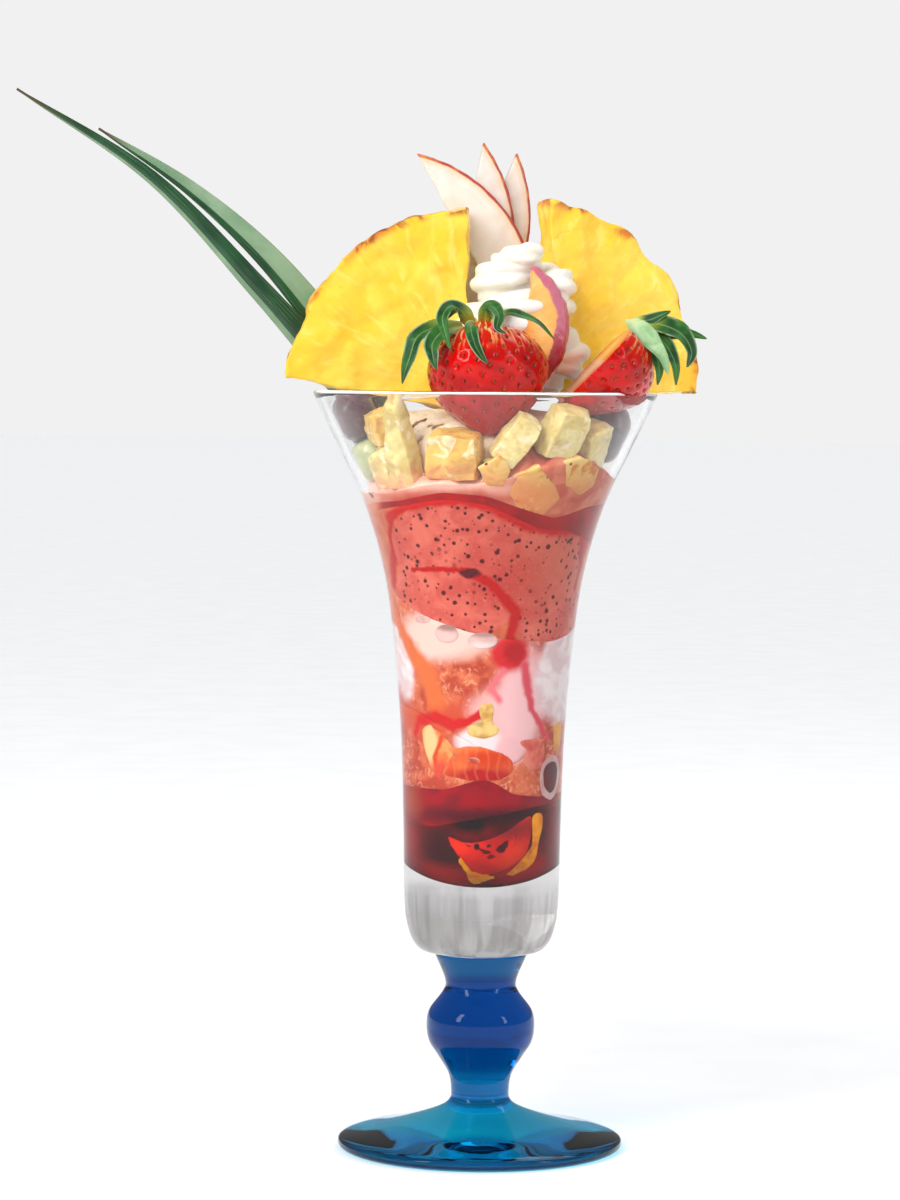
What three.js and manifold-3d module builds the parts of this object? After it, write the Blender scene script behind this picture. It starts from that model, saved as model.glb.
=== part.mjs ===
// Fruit cup: a tall footed glass layered with jelly, cream, ice cream and cut fruit, dressed on top with
// pineapple, apple, peach, strawberries, whipped cream and two long leaves.
// Millimetres, +Z up. The origin is the centre of the foot's flat underside and the front looks towards -Y.
// An azimuth is an angle about +Z measured from the front (-Y) towards the right (+X).

import * as THREE from 'three';
import { mergeVertices } from 'three/addons/utils/BufferGeometryUtils.js';
import Module from 'manifold-3d';

const wasm = await Module();
wasm.setup();

// Driving dimensions of the glass
const GLASS_HEIGHT = 200;
const RIM_RADIUS = 45.5;
const BODY_RADIUS = 20.8;
const FOOT_RADIUS = 37.6;
const JOINT_HEIGHT = 51.4;
const JOINT_RADIUS = 12.2;
const CAVITY_FLOOR = 70;
const CAVITY_CORNER = 12;
const BODY_WALL = 2.8;
const RIM_WALL = 1.8;
const FLARE_START = 110;

// Clearances: between two pieces of food, and between food and the glass wall
const GAP = 0.35;
const WALL_GAP = 0.45;

// How far a cut surface may move where its small faces are merged
const MERGE_TOLERANCE = 0.12;
const GLASS_SEGMENTS = 28;

// Driving dimensions of the fruit
const PINEAPPLE_RADIUS = 49.5;
const PINEAPPLE_THICKNESS = 12;
const APPLE_RADIUS = 41;
const APPLE_CHORD = 62;
const APPLE_THICKNESS = 2.6;
const STRAWBERRY_LENGTH = 30;
const STRAWBERRY_RADIUS = 15.4;
const CREAM_RADIUS = 17.5;
const CREAM_HEIGHT = 37;

const DEG = Math.PI / 180;
const ROUND = 2 * Math.PI;

// Seeded random numbers, so every build gives the same fruit
function randomFrom(seed) {
  let state = seed * 7919 + 17;
  return () => {
    state = (state * 1103515245 + 12345) % 2147483648;
    return state / 2147483648;
  };
}

// Smooth bumps of about the given size over a surface point, between -1 and 1
function bump(point, size, phase) {
  const k = ROUND / size;
  return (Math.sin(k * point.x + phase) + Math.sin(k * 0.9 * point.y + 1.7 * phase)
    + Math.sin(k * 1.1 * point.z + 2.9 * phase)) / 3;
}

// Closed geometry with shared corners, as the boolean library needs it
function welded(geometry) {
  const bare = geometry.clone();
  bare.deleteAttribute('normal');
  bare.deleteAttribute('uv');
  return mergeVertices(bare, 1e-4);
}

function solidOf(geometry) {
  const closed = welded(geometry);
  const vertProperties = new Float32Array(closed.attributes.position.array);
  const triVerts = new Uint32Array(closed.index.array);
  const solid = new wasm.Manifold(new wasm.Mesh({ numProp: 3, vertProperties, triVerts }));
  if (solid.volume() > 0) return solid;
  for (let i = 0; i < triVerts.length; i += 3) {
    [triVerts[i], triVerts[i + 1]] = [triVerts[i + 1], triVerts[i]];
  }
  return new wasm.Manifold(new wasm.Mesh({ numProp: 3, vertProperties, triVerts }));
}

function geometryOf(solid) {
  const mesh = solid.getMesh();
  const geometry = new THREE.BufferGeometry();
  geometry.setAttribute('position', new THREE.BufferAttribute(new Float32Array(mesh.vertProperties), 3));
  geometry.setIndex(new THREE.BufferAttribute(new Uint32Array(mesh.triVerts), 1));
  geometry.computeVertexNormals();
  return geometry;
}

// A cut solid without the loose scraps of the cut, and with its smallest faces merged
function trimmed(solid) {
  return solid.simplify(MERGE_TOLERANCE).decompose().sort((a, b) => b.volume() - a.volume())[0];
}

// Twice the area of triangle i of an indexed geometry, as a vector along its normal
function areaVector(geometry, i) {
  const position = geometry.attributes.position;
  const index = geometry.index.array;
  const corner = [0, 1, 2].map((k) => new THREE.Vector3().fromBufferAttribute(position, index[3 * i + k]));
  return corner[1].sub(corner[0]).cross(corner[2].sub(corner[0]));
}

// The same geometry with each of its faces pushed out by a distance
function grown(geometry, distance) {
  const shape = welded(geometry);
  const position = shape.attributes.position;
  const index = shape.index.array;
  const outward = Array.from({ length: position.count }, () => new THREE.Vector3());
  const faces = Array.from({ length: index.length / 3 }, (_, i) => areaVector(shape, i).normalize());
  index.forEach((vertex, k) => outward[vertex].add(faces[Math.floor(k / 3)]));
  outward.forEach((normal) => normal.normalize());
  const least = new Array(position.count).fill(1);
  index.forEach((vertex, k) => {
    least[vertex] = Math.min(least[vertex], outward[vertex].dot(faces[Math.floor(k / 3)]));
  });
  outward.forEach((normal, i) => {
    const step = distance / Math.max(least[i], 0.4);
    position.setXYZ(
      i,
      position.getX(i) + step * normal.x,
      position.getY(i) + step * normal.y,
      position.getZ(i) + step * normal.z,
    );
  });
  return shape;
}

// A closed skin through rings of equal count, each end closed by a fan to its middle
function loft(rings) {
  const count = rings[0].length;
  const points = [];
  const index = [];
  rings.forEach((ring) => ring.forEach((p) => points.push(p.x, p.y, p.z)));
  for (let k = 0; k < rings.length - 1; k += 1) {
    for (let j = 0; j < count; j += 1) {
      const next = (j + 1) % count;
      const a = k * count + j;
      const b = k * count + next;
      index.push(a, b, b + count, a, b + count, a + count);
    }
  }
  [0, rings.length - 1].forEach((end) => {
    const middle = new THREE.Vector3();
    rings[end].forEach((p) => middle.addScaledVector(p, 1 / count));
    const hub = points.length / 3;
    points.push(middle.x, middle.y, middle.z);
    for (let j = 0; j < count; j += 1) {
      const a = end * count + j;
      const b = end * count + (j + 1) % count;
      index.push(...(end === 0 ? [hub, b, a] : [hub, a, b]));
    }
  });
  const geometry = new THREE.BufferGeometry();
  geometry.setAttribute('position', new THREE.Float32BufferAttribute(points, 3));
  geometry.setIndex(index);
  geometry.computeVertexNormals();
  return geometry;
}

// A solid of revolution about Z from an outline of (radius, height) points that starts and ends on the axis
function turned(outline, segments) {
  return new THREE.LatheGeometry(outline, segments).rotateX(Math.PI / 2);
}

function moveVertices(geometry, move) {
  const shape = welded(geometry);
  const position = shape.attributes.position;
  const point = new THREE.Vector3();
  for (let i = 0; i < position.count; i += 1) {
    point.fromBufferAttribute(position, i);
    move(point);
    position.setXYZ(i, point.x, point.y, point.z);
  }
  shape.computeVertexNormals();
  return shape;
}

// Outline of the glass: the outer wall of the bowl by (radius, height), measured at the silhouette
const bowlWall = new THREE.SplineCurve([
  new THREE.Vector2(JOINT_RADIUS, JOINT_HEIGHT + 0.4),
  new THREE.Vector2(16.6, 53.2),
  new THREE.Vector2(19.2, 57.8),
  new THREE.Vector2(20.4, 66),
  new THREE.Vector2(BODY_RADIUS, 86),
  new THREE.Vector2(21.6, FLARE_START),
  new THREE.Vector2(23.5, 133),
  new THREE.Vector2(26.2, 152),
  new THREE.Vector2(31.4, 170),
  new THREE.Vector2(38.4, 185),
  new THREE.Vector2(RIM_RADIUS - 0.4, GLASS_HEIGHT - 1),
]).getPoints(40);

function outerRadius(height) {
  const above = bowlWall.findIndex((p) => p.y > height);
  if (above < 0) return bowlWall[bowlWall.length - 1].x;
  if (above === 0) return bowlWall[0].x;
  const a = bowlWall[above - 1];
  const b = bowlWall[above];
  return a.x + (b.x - a.x) * (height - a.y) / (b.y - a.y);
}

function wallThickness(height) {
  const share = THREE.MathUtils.clamp((height - FLARE_START) / (GLASS_HEIGHT - FLARE_START), 0, 1);
  return BODY_WALL + (RIM_WALL - BODY_WALL) * share;
}

// Inner radius of the bowl: its floor is a quarter ellipse that runs into the wall
function innerRadius(height) {
  const rise = height - CAVITY_FLOOR;
  const wall = outerRadius(height) - wallThickness(height);
  if (rise >= CAVITY_CORNER) return wall;
  const up = 1 - Math.max(rise, 0) / CAVITY_CORNER;
  return wall * Math.sqrt(1 - up * up);
}

// Heights of the rings inside the bowl; what lies at the wall uses them too, so its gap stays even
const cavityHeights = [70.9, 72.2, 74.6, 78, 82, 112, 132, 147, 160, 172, 182, 191];

function bowlGeometry() {
  const outline = [new THREE.Vector2(0, JOINT_HEIGHT + 0.4)];
  const outerHeights = [51.8, 53.2, 56, 62, 86, 112, 132, 147, 160, 172, 182, 191];
  outerHeights.forEach((z) => outline.push(new THREE.Vector2(outerRadius(z), z)));
  outline.push(new THREE.Vector2(RIM_RADIUS - 0.3, GLASS_HEIGHT - 0.7));
  outline.push(new THREE.Vector2(RIM_RADIUS - RIM_WALL / 2, GLASS_HEIGHT));
  outline.push(new THREE.Vector2(RIM_RADIUS - RIM_WALL, GLASS_HEIGHT - 0.7));
  [...cavityHeights].reverse().forEach((z) => outline.push(new THREE.Vector2(innerRadius(z), z)));
  outline.push(new THREE.Vector2(0, CAVITY_FLOOR));
  return turned(outline, GLASS_SEGMENTS);
}

// Blue stem and foot: neck, bulb, neck, and a flat-bottomed disc foot with a rounded edge
function stemGeometry() {
  const profile = [
    [36, 0], [37.2, 0.7], [FOOT_RADIUS, 1.8], [37, 2.9], [34, 4], [26, 5.7], [17, 8.3], [10.5, 10.8],
    [8, 12.9], [7.7, 15.5], [8.4, 19.7], [11.2, 24.4], [13.6, 28.2], [14.3, 32.5], [13.6, 36.6],
    [10, 41.6], [9.5, 44.8], [JOINT_RADIUS, JOINT_HEIGHT],
  ];
  const outline = [new THREE.Vector2(0, 0)];
  profile.forEach(([r, z]) => outline.push(new THREE.Vector2(r, z)));
  outline.push(new THREE.Vector2(0, JOINT_HEIGHT));
  return turned(outline, GLASS_SEGMENTS);
}

// Heights where one layer meets the next at the wall, by azimuth. They follow what shows at the front
const levels = {
  darkJellyTop: (a) => 89.5 + 2.2 * Math.sin(a) - 1.2 * Math.cos(2 * a),
  redJellyTop: (a) => 97.2 - 1.6 * Math.sin(a) + 1.6 * Math.cos(3 * a),
  fruitMeltTop: (a) => 115.5 - 1.8 * Math.sin(a) - 3 * Math.cos(2 * a + 0.4),
  vanillaTop: (a) => 141 - 5.5 * Math.sin(a) - 2.2 * Math.cos(a),
  scoopTop: (a) => 167.5 - 3 * Math.sin(a) + 2.4 * Math.cos(2 * a + 0.9),
  syrupTop: (a) => 171.8 - 0.6 * Math.sin(a) + 1.2 * Math.cos(2 * a + 0.7),
};

const LAYER_SEGMENTS = 26;

// A ring of points on the inside of the wall, at a height that changes with azimuth, and lifted off it
function wallRing(heightAt, lift = 0) {
  return Array.from({ length: LAYER_SEGMENTS }, (_, j) => {
    const azimuth = j * ROUND / LAYER_SEGMENTS;
    const z = heightAt(azimuth);
    const r = innerRadius(z) - WALL_GAP;
    return new THREE.Vector3(r * Math.sin(azimuth), -r * Math.cos(azimuth), z + lift);
  });
}

// A layer that fills the glass between two levels
function layerGeometry(bottomAt, topAt, bands) {
  const rings = [];
  for (let k = 0; k <= bands; k += 1) {
    const share = k / bands;
    const heightAt = (a) => bottomAt(a) + GAP + (topAt(a) - bottomAt(a) - GAP) * share;
    rings.push(wallRing(heightAt));
  }
  return loft(rings);
}

function darkJellyGeometry() {
  const rings = cavityHeights.slice(0, 5).map((z) => wallRing(() => z, GAP));
  rings.push(wallRing(levels.darkJellyTop));
  return loft(rings);
}

// Shapes of cut and whole fruit

// A knife-cut block with soft, uneven corners. Its length runs along Z, and taper narrows its top
function chunkGeometry([width, depth, height], seed, taper = 0) {
  const random = randomFrom(seed);
  const box = new THREE.BoxGeometry(width, depth, height, 2, 2, 2);
  const lean = (random() - 0.5) * 0.25;
  return moveVertices(box, (p) => {
    const ends = [Math.abs(p.x) / width, Math.abs(p.y) / depth, Math.abs(p.z) / height]
      .filter((e) => e > 0.49).length;
    const shrink = [1, 1, 0.94, 0.86][ends];
    const narrow = 1 - taper * (p.z / height + 0.5);
    p.multiplyScalar(shrink + (random() - 0.5) * 0.05);
    p.x = p.x * narrow + lean * p.z * 0.5;
    p.y *= 1 - taper * 0.4 * (p.z / height + 0.5);
  });
}

function berryGeometry([rx, ry, rz], seed) {
  const ball = new THREE.IcosahedronGeometry(1, 2);
  return moveVertices(ball, (p) => {
    const swell = 1 + 0.025 * bump(p, 1.6, seed);
    p.set(p.x * rx * swell, p.y * ry * swell, p.z * rz * swell);
  });
}

// Radius of a strawberry along its length, 0 at the tip and 1 at the shoulder
function strawberryRadius(share) {
  return STRAWBERRY_RADIUS * Math.sin(Math.PI * share ** 1.45) ** 0.66;
}

function strawberryGeometry(seed) {
  const rings = [];
  const segments = 16;
  const steps = 9;
  for (let k = 0; k <= steps; k += 1) {
    const share = 0.012 + 0.976 * k / steps;
    const ring = [];
    for (let j = 0; j < segments; j += 1) {
      const angle = j * ROUND / segments;
      const uneven = 1 + 0.04 * Math.sin(3 * angle + seed) + 0.03 * Math.sin(2 * angle + 5 * share);
      const r = strawberryRadius(share) * uneven;
      const dip = 2.2 * Math.max(0, share - 0.86) / 0.14 * Math.cos(angle) ** 2;
      const z = STRAWBERRY_LENGTH * (share - 0.5) - dip;
      ring.push(new THREE.Vector3(r * Math.cos(angle), r * Math.sin(angle), z));
    }
    rings.push(ring);
  }
  return loft(rings);
}

// Half of a strawberry: what lies on the -Y side of a plane through its length
function halfStrawberryGeometry(seed) {
  const block = new THREE.BoxGeometry(60, 60, 60).translate(0, 30, 0);
  return geometryOf(trimmed(solidOf(strawberryGeometry(seed)).subtract(solidOf(block))));
}

// A thin blade with thickness: centre line, width and side direction along it, folded along its middle
function bladeGeometry({ centre, widthAt, sideAt, fold, thickness, steps, across }) {
  const rings = [];
  for (let k = 0; k <= steps; k += 1) {
    const t = k / steps;
    const middle = centre.getPoint(t);
    const along = centre.getTangent(t);
    const side = sideAt(t).clone().addScaledVector(along, -sideAt(t).dot(along)).normalize();
    const up = new THREE.Vector3().crossVectors(along, side).normalize();
    const upper = [];
    const lower = [];
    for (let j = 0; j <= across; j += 1) {
      const u = 2 * j / across - 1;
      const half = widthAt(t) / 2;
      const rise = fold * half * Math.abs(u);
      const base = middle.clone().addScaledVector(side, u * half).addScaledVector(up, rise);
      const edge = Math.max(1 - u * u, 0.25) * thickness / 2;
      upper.push(base.clone().addScaledVector(up, edge));
      lower.push(base.clone().addScaledVector(up, -edge));
    }
    rings.push([...upper, ...lower.reverse()]);
  }
  return loft(rings);
}

// The green star on a strawberry: bent leaflets on a small hub, with ends that droop or stand up
function calyxGeometry({ leaflets, reach, rise, droop, seed }) {
  const random = randomFrom(seed);
  let star = solidOf(new THREE.CylinderGeometry(2.4, 4.4, 2, 8).rotateX(Math.PI / 2));
  for (let i = 0; i < leaflets; i += 1) {
    const angle = (i + 0.5 * (random() - 0.5)) * ROUND / leaflets;
    const length = reach * (0.8 + 0.35 * random());
    const out = new THREE.Vector3(Math.cos(angle), Math.sin(angle), 0);
    const centre = new THREE.QuadraticBezierCurve3(
      out.clone().multiplyScalar(1.5),
      out.clone().multiplyScalar(length * 0.6).setZ(rise * (0.6 + 0.8 * random())),
      out.clone().multiplyScalar(length).setZ(-droop * (0.6 + 0.8 * random())),
    );
    const leaflet = bladeGeometry({
      centre,
      widthAt: (t) => 0.5 + 5.2 * Math.sin(Math.PI * (0.18 + 0.8 * t)) ** 0.9,
      sideAt: () => new THREE.Vector3(-Math.sin(angle), Math.cos(angle), 0),
      fold: 0.2,
      thickness: 1,
      steps: 3,
      across: 2,
    });
    star = star.add(solidOf(leaflet));
  }
  return geometryOf(trimmed(star));
}

// A piece of a pineapple ring, standing in the XZ plane with the ring's centre at the origin: its round
// edge runs between two angles and keeps the scallops of the peeled eyes, and its cuts meet at a corner
function pineappleGeometry(corner, fromDeg, toDeg, seed) {
  const shape = new THREE.Shape();
  shape.moveTo(...corner);
  const steps = 30;
  for (let k = 0; k <= steps; k += 1) {
    const angle = (fromDeg + (toDeg - fromDeg) * k / steps) * DEG;
    const scallop = 0.9 * Math.abs(Math.sin(angle * 6.5 + seed)) + 0.5 * Math.sin(angle * 17 + seed);
    const r = PINEAPPLE_RADIUS - 0.9 + scallop;
    shape.lineTo(r * Math.cos(angle), r * Math.sin(angle));
  }
  shape.closePath();
  const bevel = 0.8;
  const slab = new THREE.ExtrudeGeometry(shape, {
    depth: PINEAPPLE_THICKNESS - 2 * bevel,
    bevelEnabled: true,
    bevelThickness: bevel,
    bevelSize: bevel,
    bevelOffset: -bevel,
    bevelSegments: 1,
  });
  return slab.translate(0, 0, bevel - PINEAPPLE_THICKNESS / 2).rotateX(Math.PI / 2);
}

// A half-moon apple slice in the XZ plane: straight core side down -Z from the tip at the origin,
// round skin side towards +X
function appleGeometry() {
  const half = APPLE_CHORD / 2;
  const inset = Math.sqrt(APPLE_RADIUS ** 2 - half ** 2);
  const reach = Math.asin(half / APPLE_RADIUS);
  const shape = new THREE.Shape();
  const steps = 14;
  for (let k = 0; k <= steps; k += 1) {
    const angle = reach - 2 * reach * k / steps;
    shape.lineTo(APPLE_RADIUS * Math.cos(angle) - inset, APPLE_RADIUS * Math.sin(angle) - half);
  }
  shape.closePath();
  const slab = new THREE.ExtrudeGeometry(shape, {
    depth: APPLE_THICKNESS - 0.6,
    bevelEnabled: true,
    bevelThickness: 0.3,
    bevelSize: 0.3,
    bevelOffset: -0.3,
    bevelSegments: 1,
  });
  return slab.translate(0, 0, -APPLE_THICKNESS / 2).rotateX(Math.PI / 2);
}

// A crescent of peach standing on its end: thin stone side on the left, round skin side on the right
function peachGeometry(height, width, thickness) {
  const rings = [];
  const steps = 12;
  for (let k = 0; k <= steps; k += 1) {
    const t = 0.02 + 0.96 * k / steps;
    const reach = width * Math.sin(Math.PI * t) ** 0.6;
    const lean = -2.2 * Math.cos(Math.PI * t);
    const z = height * (t - 0.5);
    const fat = thickness * (0.35 + 0.65 * Math.sin(Math.PI * t));
    const outline = [
      [0, -0.22], [0.55, -0.42], [0.86, -0.38], [0.97, -0.18], [1, 0],
      [0.97, 0.18], [0.86, 0.38], [0.55, 0.42], [0, 0.22],
    ];
    rings.push(outline.map(([u, v]) => new THREE.Vector3(lean + u * reach, v * fat, z)));
  }
  return loft(rings);
}

// Piped whipped cream: a rope with sharp flutes that winds up to a soft peak
function creamSwirlGeometry() {
  const rings = [];
  const segments = 24;
  const steps = 13;
  const turns = 2.6;
  const flutes = 6;
  for (let k = 0; k <= steps; k += 1) {
    const v = k / steps;
    const body = CREAM_RADIUS * Math.sqrt(Math.max(1 - v ** 2.4, 0)) * (0.9 + 0.1 * (1 - v)) + 0.5;
    const ring = [];
    for (let j = 0; j < segments; j += 1) {
      const angle = j * ROUND / segments;
      const coil = Math.abs(Math.sin((turns * v * ROUND - angle) / 2));
      const flute = Math.cos(flutes * (angle + 2.2 * v));
      const r = body * (0.8 + 0.2 * Math.sqrt(coil) + 0.035 * flute);
      const shift = 2.4 * v * v;
      const z = CREAM_HEIGHT * v + 0.8 * flute * Math.sin(Math.PI * v);
      ring.push(new THREE.Vector3(r * Math.cos(angle) + shift, r * Math.sin(angle), z));
    }
    rings.push(ring);
  }
  return loft(rings);
}

// The mound of cream in the middle, which the cut fruit leans on and the toppings sit in
function creamBedGeometry() {
  const mound = [[20, 172.6], [20.5, 178], [22.5, 184.5], [24, 190.5], [22.5, 195.5], [18.5, 199], [12, 201.6]];
  const rings = mound.map(([radius, height], step) => (
    Array.from({ length: LAYER_SEGMENTS }, (_, j) => {
      const azimuth = j * ROUND / LAYER_SEGMENTS;
      const r = radius * (1 + 0.05 * Math.sin(4 * azimuth + step) + 0.03 * Math.sin(7 * azimuth));
      const wave = 0.9 * Math.sin(3 * azimuth + 2 * step);
      const z = step === 0 ? levels.syrupTop(azimuth) + 2 * GAP : height + wave;
      return new THREE.Vector3(r * Math.sin(azimuth), -r * Math.cos(azimuth), z);
    })
  ));
  return loft(rings);
}

// Colours and finishes
const paint = (color, roughness, extra = {}) => new THREE.MeshStandardMaterial({
  color, roughness, metalness: 0, ...extra,
});
const clearGlass = paint(0xd8dcdc, 0.04, { transparent: true, opacity: 0.35 });
const blueGlass = paint(0x064a86, 0.05, { transparent: true, opacity: 0.8 });
const darkJelly = paint(0x4a0008, 0.2);
const redJelly = paint(0x8c0714, 0.2);
const fruitMelt = paint(0xc2553c, 0.4);
const vanillaCream = paint(0xe2d3d0, 0.5);
const strawberryIce = paint(0xb9503f, 0.55);
const redSyrup = paint(0xa00a08, 0.15);
const whippedCream = paint(0xf6f2ea, 0.5);
const melonFlesh = paint(0xd9c483, 0.35);
const appleFlesh = paint(0xe0cf9f, 0.35);
const mangoFlesh = paint(0xe0a03c, 0.35);
const citrusFlesh = paint(0xd8501a, 0.3);
const grapeDark = paint(0x3a1420, 0.15);
const grapeGreen = paint(0xb9bd84, 0.2);
const strawberryRed = paint(0xc20d0a, 0.25);
const calyxGreen = paint(0x2d6b3a, 0.5);
const pineappleFlesh = paint(0xf7c928, 0.35);
const appleSkinned = paint(0xf2e6da, 0.35);
const peachFlesh = paint(0xf3bf6a, 0.4);
const bladeGreen = paint(0x4f8a56, 0.45);

// The scene graph: glass, filling, cut fruit in the flare, and toppings
const cup = new THREE.Group();
const glass = new THREE.Group();
const filling = new THREE.Group();
const cutFruit = new THREE.Group();
const toppings = new THREE.Group();
cup.add(glass, filling, cutFruit, toppings);

function piece(group, name, geometry, material) {
  const mesh = new THREE.Mesh(geometry, material);
  mesh.name = name;
  mesh.rotation.order = 'ZYX';
  group.add(mesh);
  return mesh;
}

// Puts a piece at an azimuth, its local -Y outward, leaning out by tilt and rolled about its outward axis
function atWall(mesh, azimuthDeg, radius, height, tiltDeg = 0, rollDeg = 0) {
  const azimuth = azimuthDeg * DEG;
  mesh.position.set(radius * Math.sin(azimuth), -radius * Math.cos(azimuth), height);
  mesh.rotation.set(tiltDeg * DEG, rollDeg * DEG, azimuth);
  return mesh;
}

function worldSolid(mesh, growth = 0) {
  mesh.updateWorldMatrix(true, false);
  const shape = welded(mesh.geometry).applyMatrix4(mesh.matrixWorld);
  const solid = solidOf(shape);
  return growth > 0 ? solidOf(grown(geometryOf(solid), growth)) : solid;
}

// Cuts a piece clear of its neighbours, and keeps it inside a bound if one is given
function fit(mesh, neighbours, bound = null, clearance = GAP) {
  let solid = worldSolid(mesh);
  neighbours.forEach((other) => {
    solid = solid.subtract(worldSolid(other, clearance));
  });
  if (bound) solid = solid.intersect(bound);
  mesh.geometry = geometryOf(trimmed(solid)).applyMatrix4(mesh.matrixWorld.clone().invert());
  return mesh;
}

// The space inside the glass, less the clearance to its wall, and open far above the rim
function cavitySolid() {
  const clearance = WALL_GAP + 0.1;
  const outline = [new THREE.Vector2(0, CAVITY_FLOOR + WALL_GAP)];
  cavityHeights.forEach((z) => outline.push(new THREE.Vector2(innerRadius(z) - clearance, z)));
  outline.push(new THREE.Vector2(innerRadius(GLASS_HEIGHT - 1) - clearance, GLASS_HEIGHT - 1));
  outline.push(new THREE.Vector2(innerRadius(GLASS_HEIGHT - 1) - clearance, 320));
  outline.push(new THREE.Vector2(0, 320));
  return solidOf(turned(outline, GLASS_SEGMENTS));
}
const cavity = cavitySolid();

// Glass
const bowl = piece(glass, 'glass_bowl', bowlGeometry(), clearGlass);
piece(glass, 'glass_stem_foot', stemGeometry(), blueGlass);

// Filling, from the bottom up. Fruit that shows at the wall is set into its layer
piece(filling, 'dark_jelly', darkJellyGeometry(), darkJelly);
piece(
  filling, 'red_jelly', layerGeometry(levels.darkJellyTop, levels.redJellyTop, 2), redJelly,
);

const citrusPiece = atWall(
  piece(filling, 'citrus_piece', chunkGeometry([22, 9, 15], 3, 0.2), citrusFlesh),
  -14, 15.5, 106.5, -4, -12,
);
const berryPiece = atWall(
  piece(filling, 'berry_piece', chunkGeometry([8.5, 7, 8], 5), strawberryRed),
  38, 15.5, 106.5, 0, 12,
);
const grapePiece = atWall(
  piece(filling, 'grape_piece', berryGeometry([4.6, 5, 6], 2), grapeDark), 78, 14.4, 99.5,
);
const mangoPiece = atWall(
  piece(filling, 'mango_piece', chunkGeometry([5, 5, 7.5], 8), mangoFlesh), 84, 16.3, 110.5,
);
const applePiece = atWall(
  piece(filling, 'apple_piece', chunkGeometry([7, 5, 8], 11), appleFlesh), 3, 17, 117.5, 0, 24,
);
const backCitrus = atWall(
  piece(filling, 'citrus_piece_back', chunkGeometry([18, 9, 13], 14, 0.15), citrusFlesh),
  168, 15.2, 107.5, 0, 8,
);
const backMango = atWall(
  piece(filling, 'mango_piece_back', chunkGeometry([9, 7, 9], 17), mangoFlesh), -128, 15.4, 109, 0, -16,
);
const embedded = [citrusPiece, berryPiece, grapePiece, mangoPiece, applePiece, backCitrus, backMango];
const layerBound = (bottomAt, topAt, bands) => solidOf(layerGeometry(bottomAt, topAt, bands));
const fruitMeltLayer = piece(
  filling, 'fruit_melt', layerGeometry(levels.redJellyTop, levels.fruitMeltTop, 3), fruitMelt,
);
fit(fruitMeltLayer, embedded);
const vanillaLayer = piece(
  filling, 'vanilla_cream', layerGeometry(levels.fruitMeltTop, levels.vanillaTop, 3), vanillaCream,
);
fit(vanillaLayer, embedded);
const meltZone = layerBound(levels.redJellyTop, levels.vanillaTop, 4);
embedded.forEach((mesh, i) => fit(mesh, embedded.slice(0, i), meltZone));

// Two scoops of strawberry ice cream: the lower one shows at the front left, the upper one over it
const lowerScoop = piece(filling, 'ice_cream_lower', berryGeometry([18, 18, 10.5], 4), strawberryIce);
lowerScoop.position.set(-7, -6, 144.5);
lowerScoop.rotation.set(0, 16 * DEG, 0);
const upperScoop = piece(
  filling, 'ice_cream_upper', layerGeometry(levels.vanillaTop, levels.scoopTop, 5), strawberryIce,
);
fit(upperScoop, [lowerScoop]);
fit(lowerScoop, [], layerBound(levels.vanillaTop, levels.scoopTop, 5));
piece(filling, 'red_syrup', layerGeometry(levels.scoopTop, levels.syrupTop, 2), redSyrup);

// Cut fruit in the flare of the glass, by azimuth, radius, height, tilt and roll
const chunks = [
  ['melon_wedge', [11, 6.5, 27], 0.55, melonFlesh, 21, [-40, 33.4, 187, 24, 6]],
  ['melon_chunk', [11.5, 8, 14], 0.15, melonFlesh, 22, [-58, 27.5, 179.3, 24, -8]],
  ['mango_chunk_left', [9, 8, 9], 0, mangoFlesh, 23, [-64, 29.5, 191, 20, 10]],
  ['mango_chunk_front', [15, 11, 13.5], 0.05, mangoFlesh, 24, [-15, 29.5, 184, 16, 4]],
  ['pineapple_chunk_low', [8, 7, 7.5], 0.3, mangoFlesh, 25, [-32, 26.5, 176.8, 20, 0]],
  ['apple_stick_slant', [8.5, 8, 15], 0, appleFlesh, 26, [14, 32, 188, 22, 34]],
  ['apple_chunk_low', [9, 8, 10], 0.1, appleFlesh, 27, [5, 27, 178.2, 20, 12]],
  ['apple_stick_upright', [10.5, 8.5, 14.5], 0, appleFlesh, 28, [36, 33.2, 190, 26, 8]],
  ['melon_chunk_right', [9.5, 8, 13], 0, melonFlesh, 29, [55, 32.5, 186.8, 26, -18]],
  ['mango_chunk_right', [10, 8, 8.5], 0.1, mangoFlesh, 30, [62, 27.2, 178.6, 26, 14]],
  ['peach_chunk_iced', [14, 9, 9.5], 0.05, peachFlesh, 31, [28, 25.6, 176.6, 20, -6]],
  ['melon_chunk_back', [13, 9, 15], 0.1, melonFlesh, 32, [122, 31, 184.5, 24, 10]],
  ['mango_chunk_back', [14, 10, 12], 0, mangoFlesh, 33, [152, 30, 183, 22, -12]],
  ['apple_stick_back', [10, 8, 17], 0, appleFlesh, 34, [-177, 32.5, 187, 24, 14]],
  ['pineapple_chunk_back', [13, 9, 12], 0.1, pineappleFlesh, 35, [-153, 28, 180.5, 22, -8]],
];
const cutPieces = chunks.map(([name, size, taper, material, seed, place]) => (
  atWall(piece(cutFruit, name, chunkGeometry(size, seed, taper), material), ...place)
));
const grapes = [
  ['grape_dark_right', [6.4, 6.4, 8.6], grapeDark, 3, [82, 32, 189.5, 20]],
  ['grape_dark_left', [6.6, 6, 6.8], grapeDark, 6, [-82, 34.5, 193.5, 20]],
  ['grape_green_left', [6, 6, 7], grapeGreen, 7, [-84, 29, 182.6, 20]],
  ['grape_dark_back', [6.4, 6.4, 8], grapeDark, 9, [-104, 33, 191, 20]],
];
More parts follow.
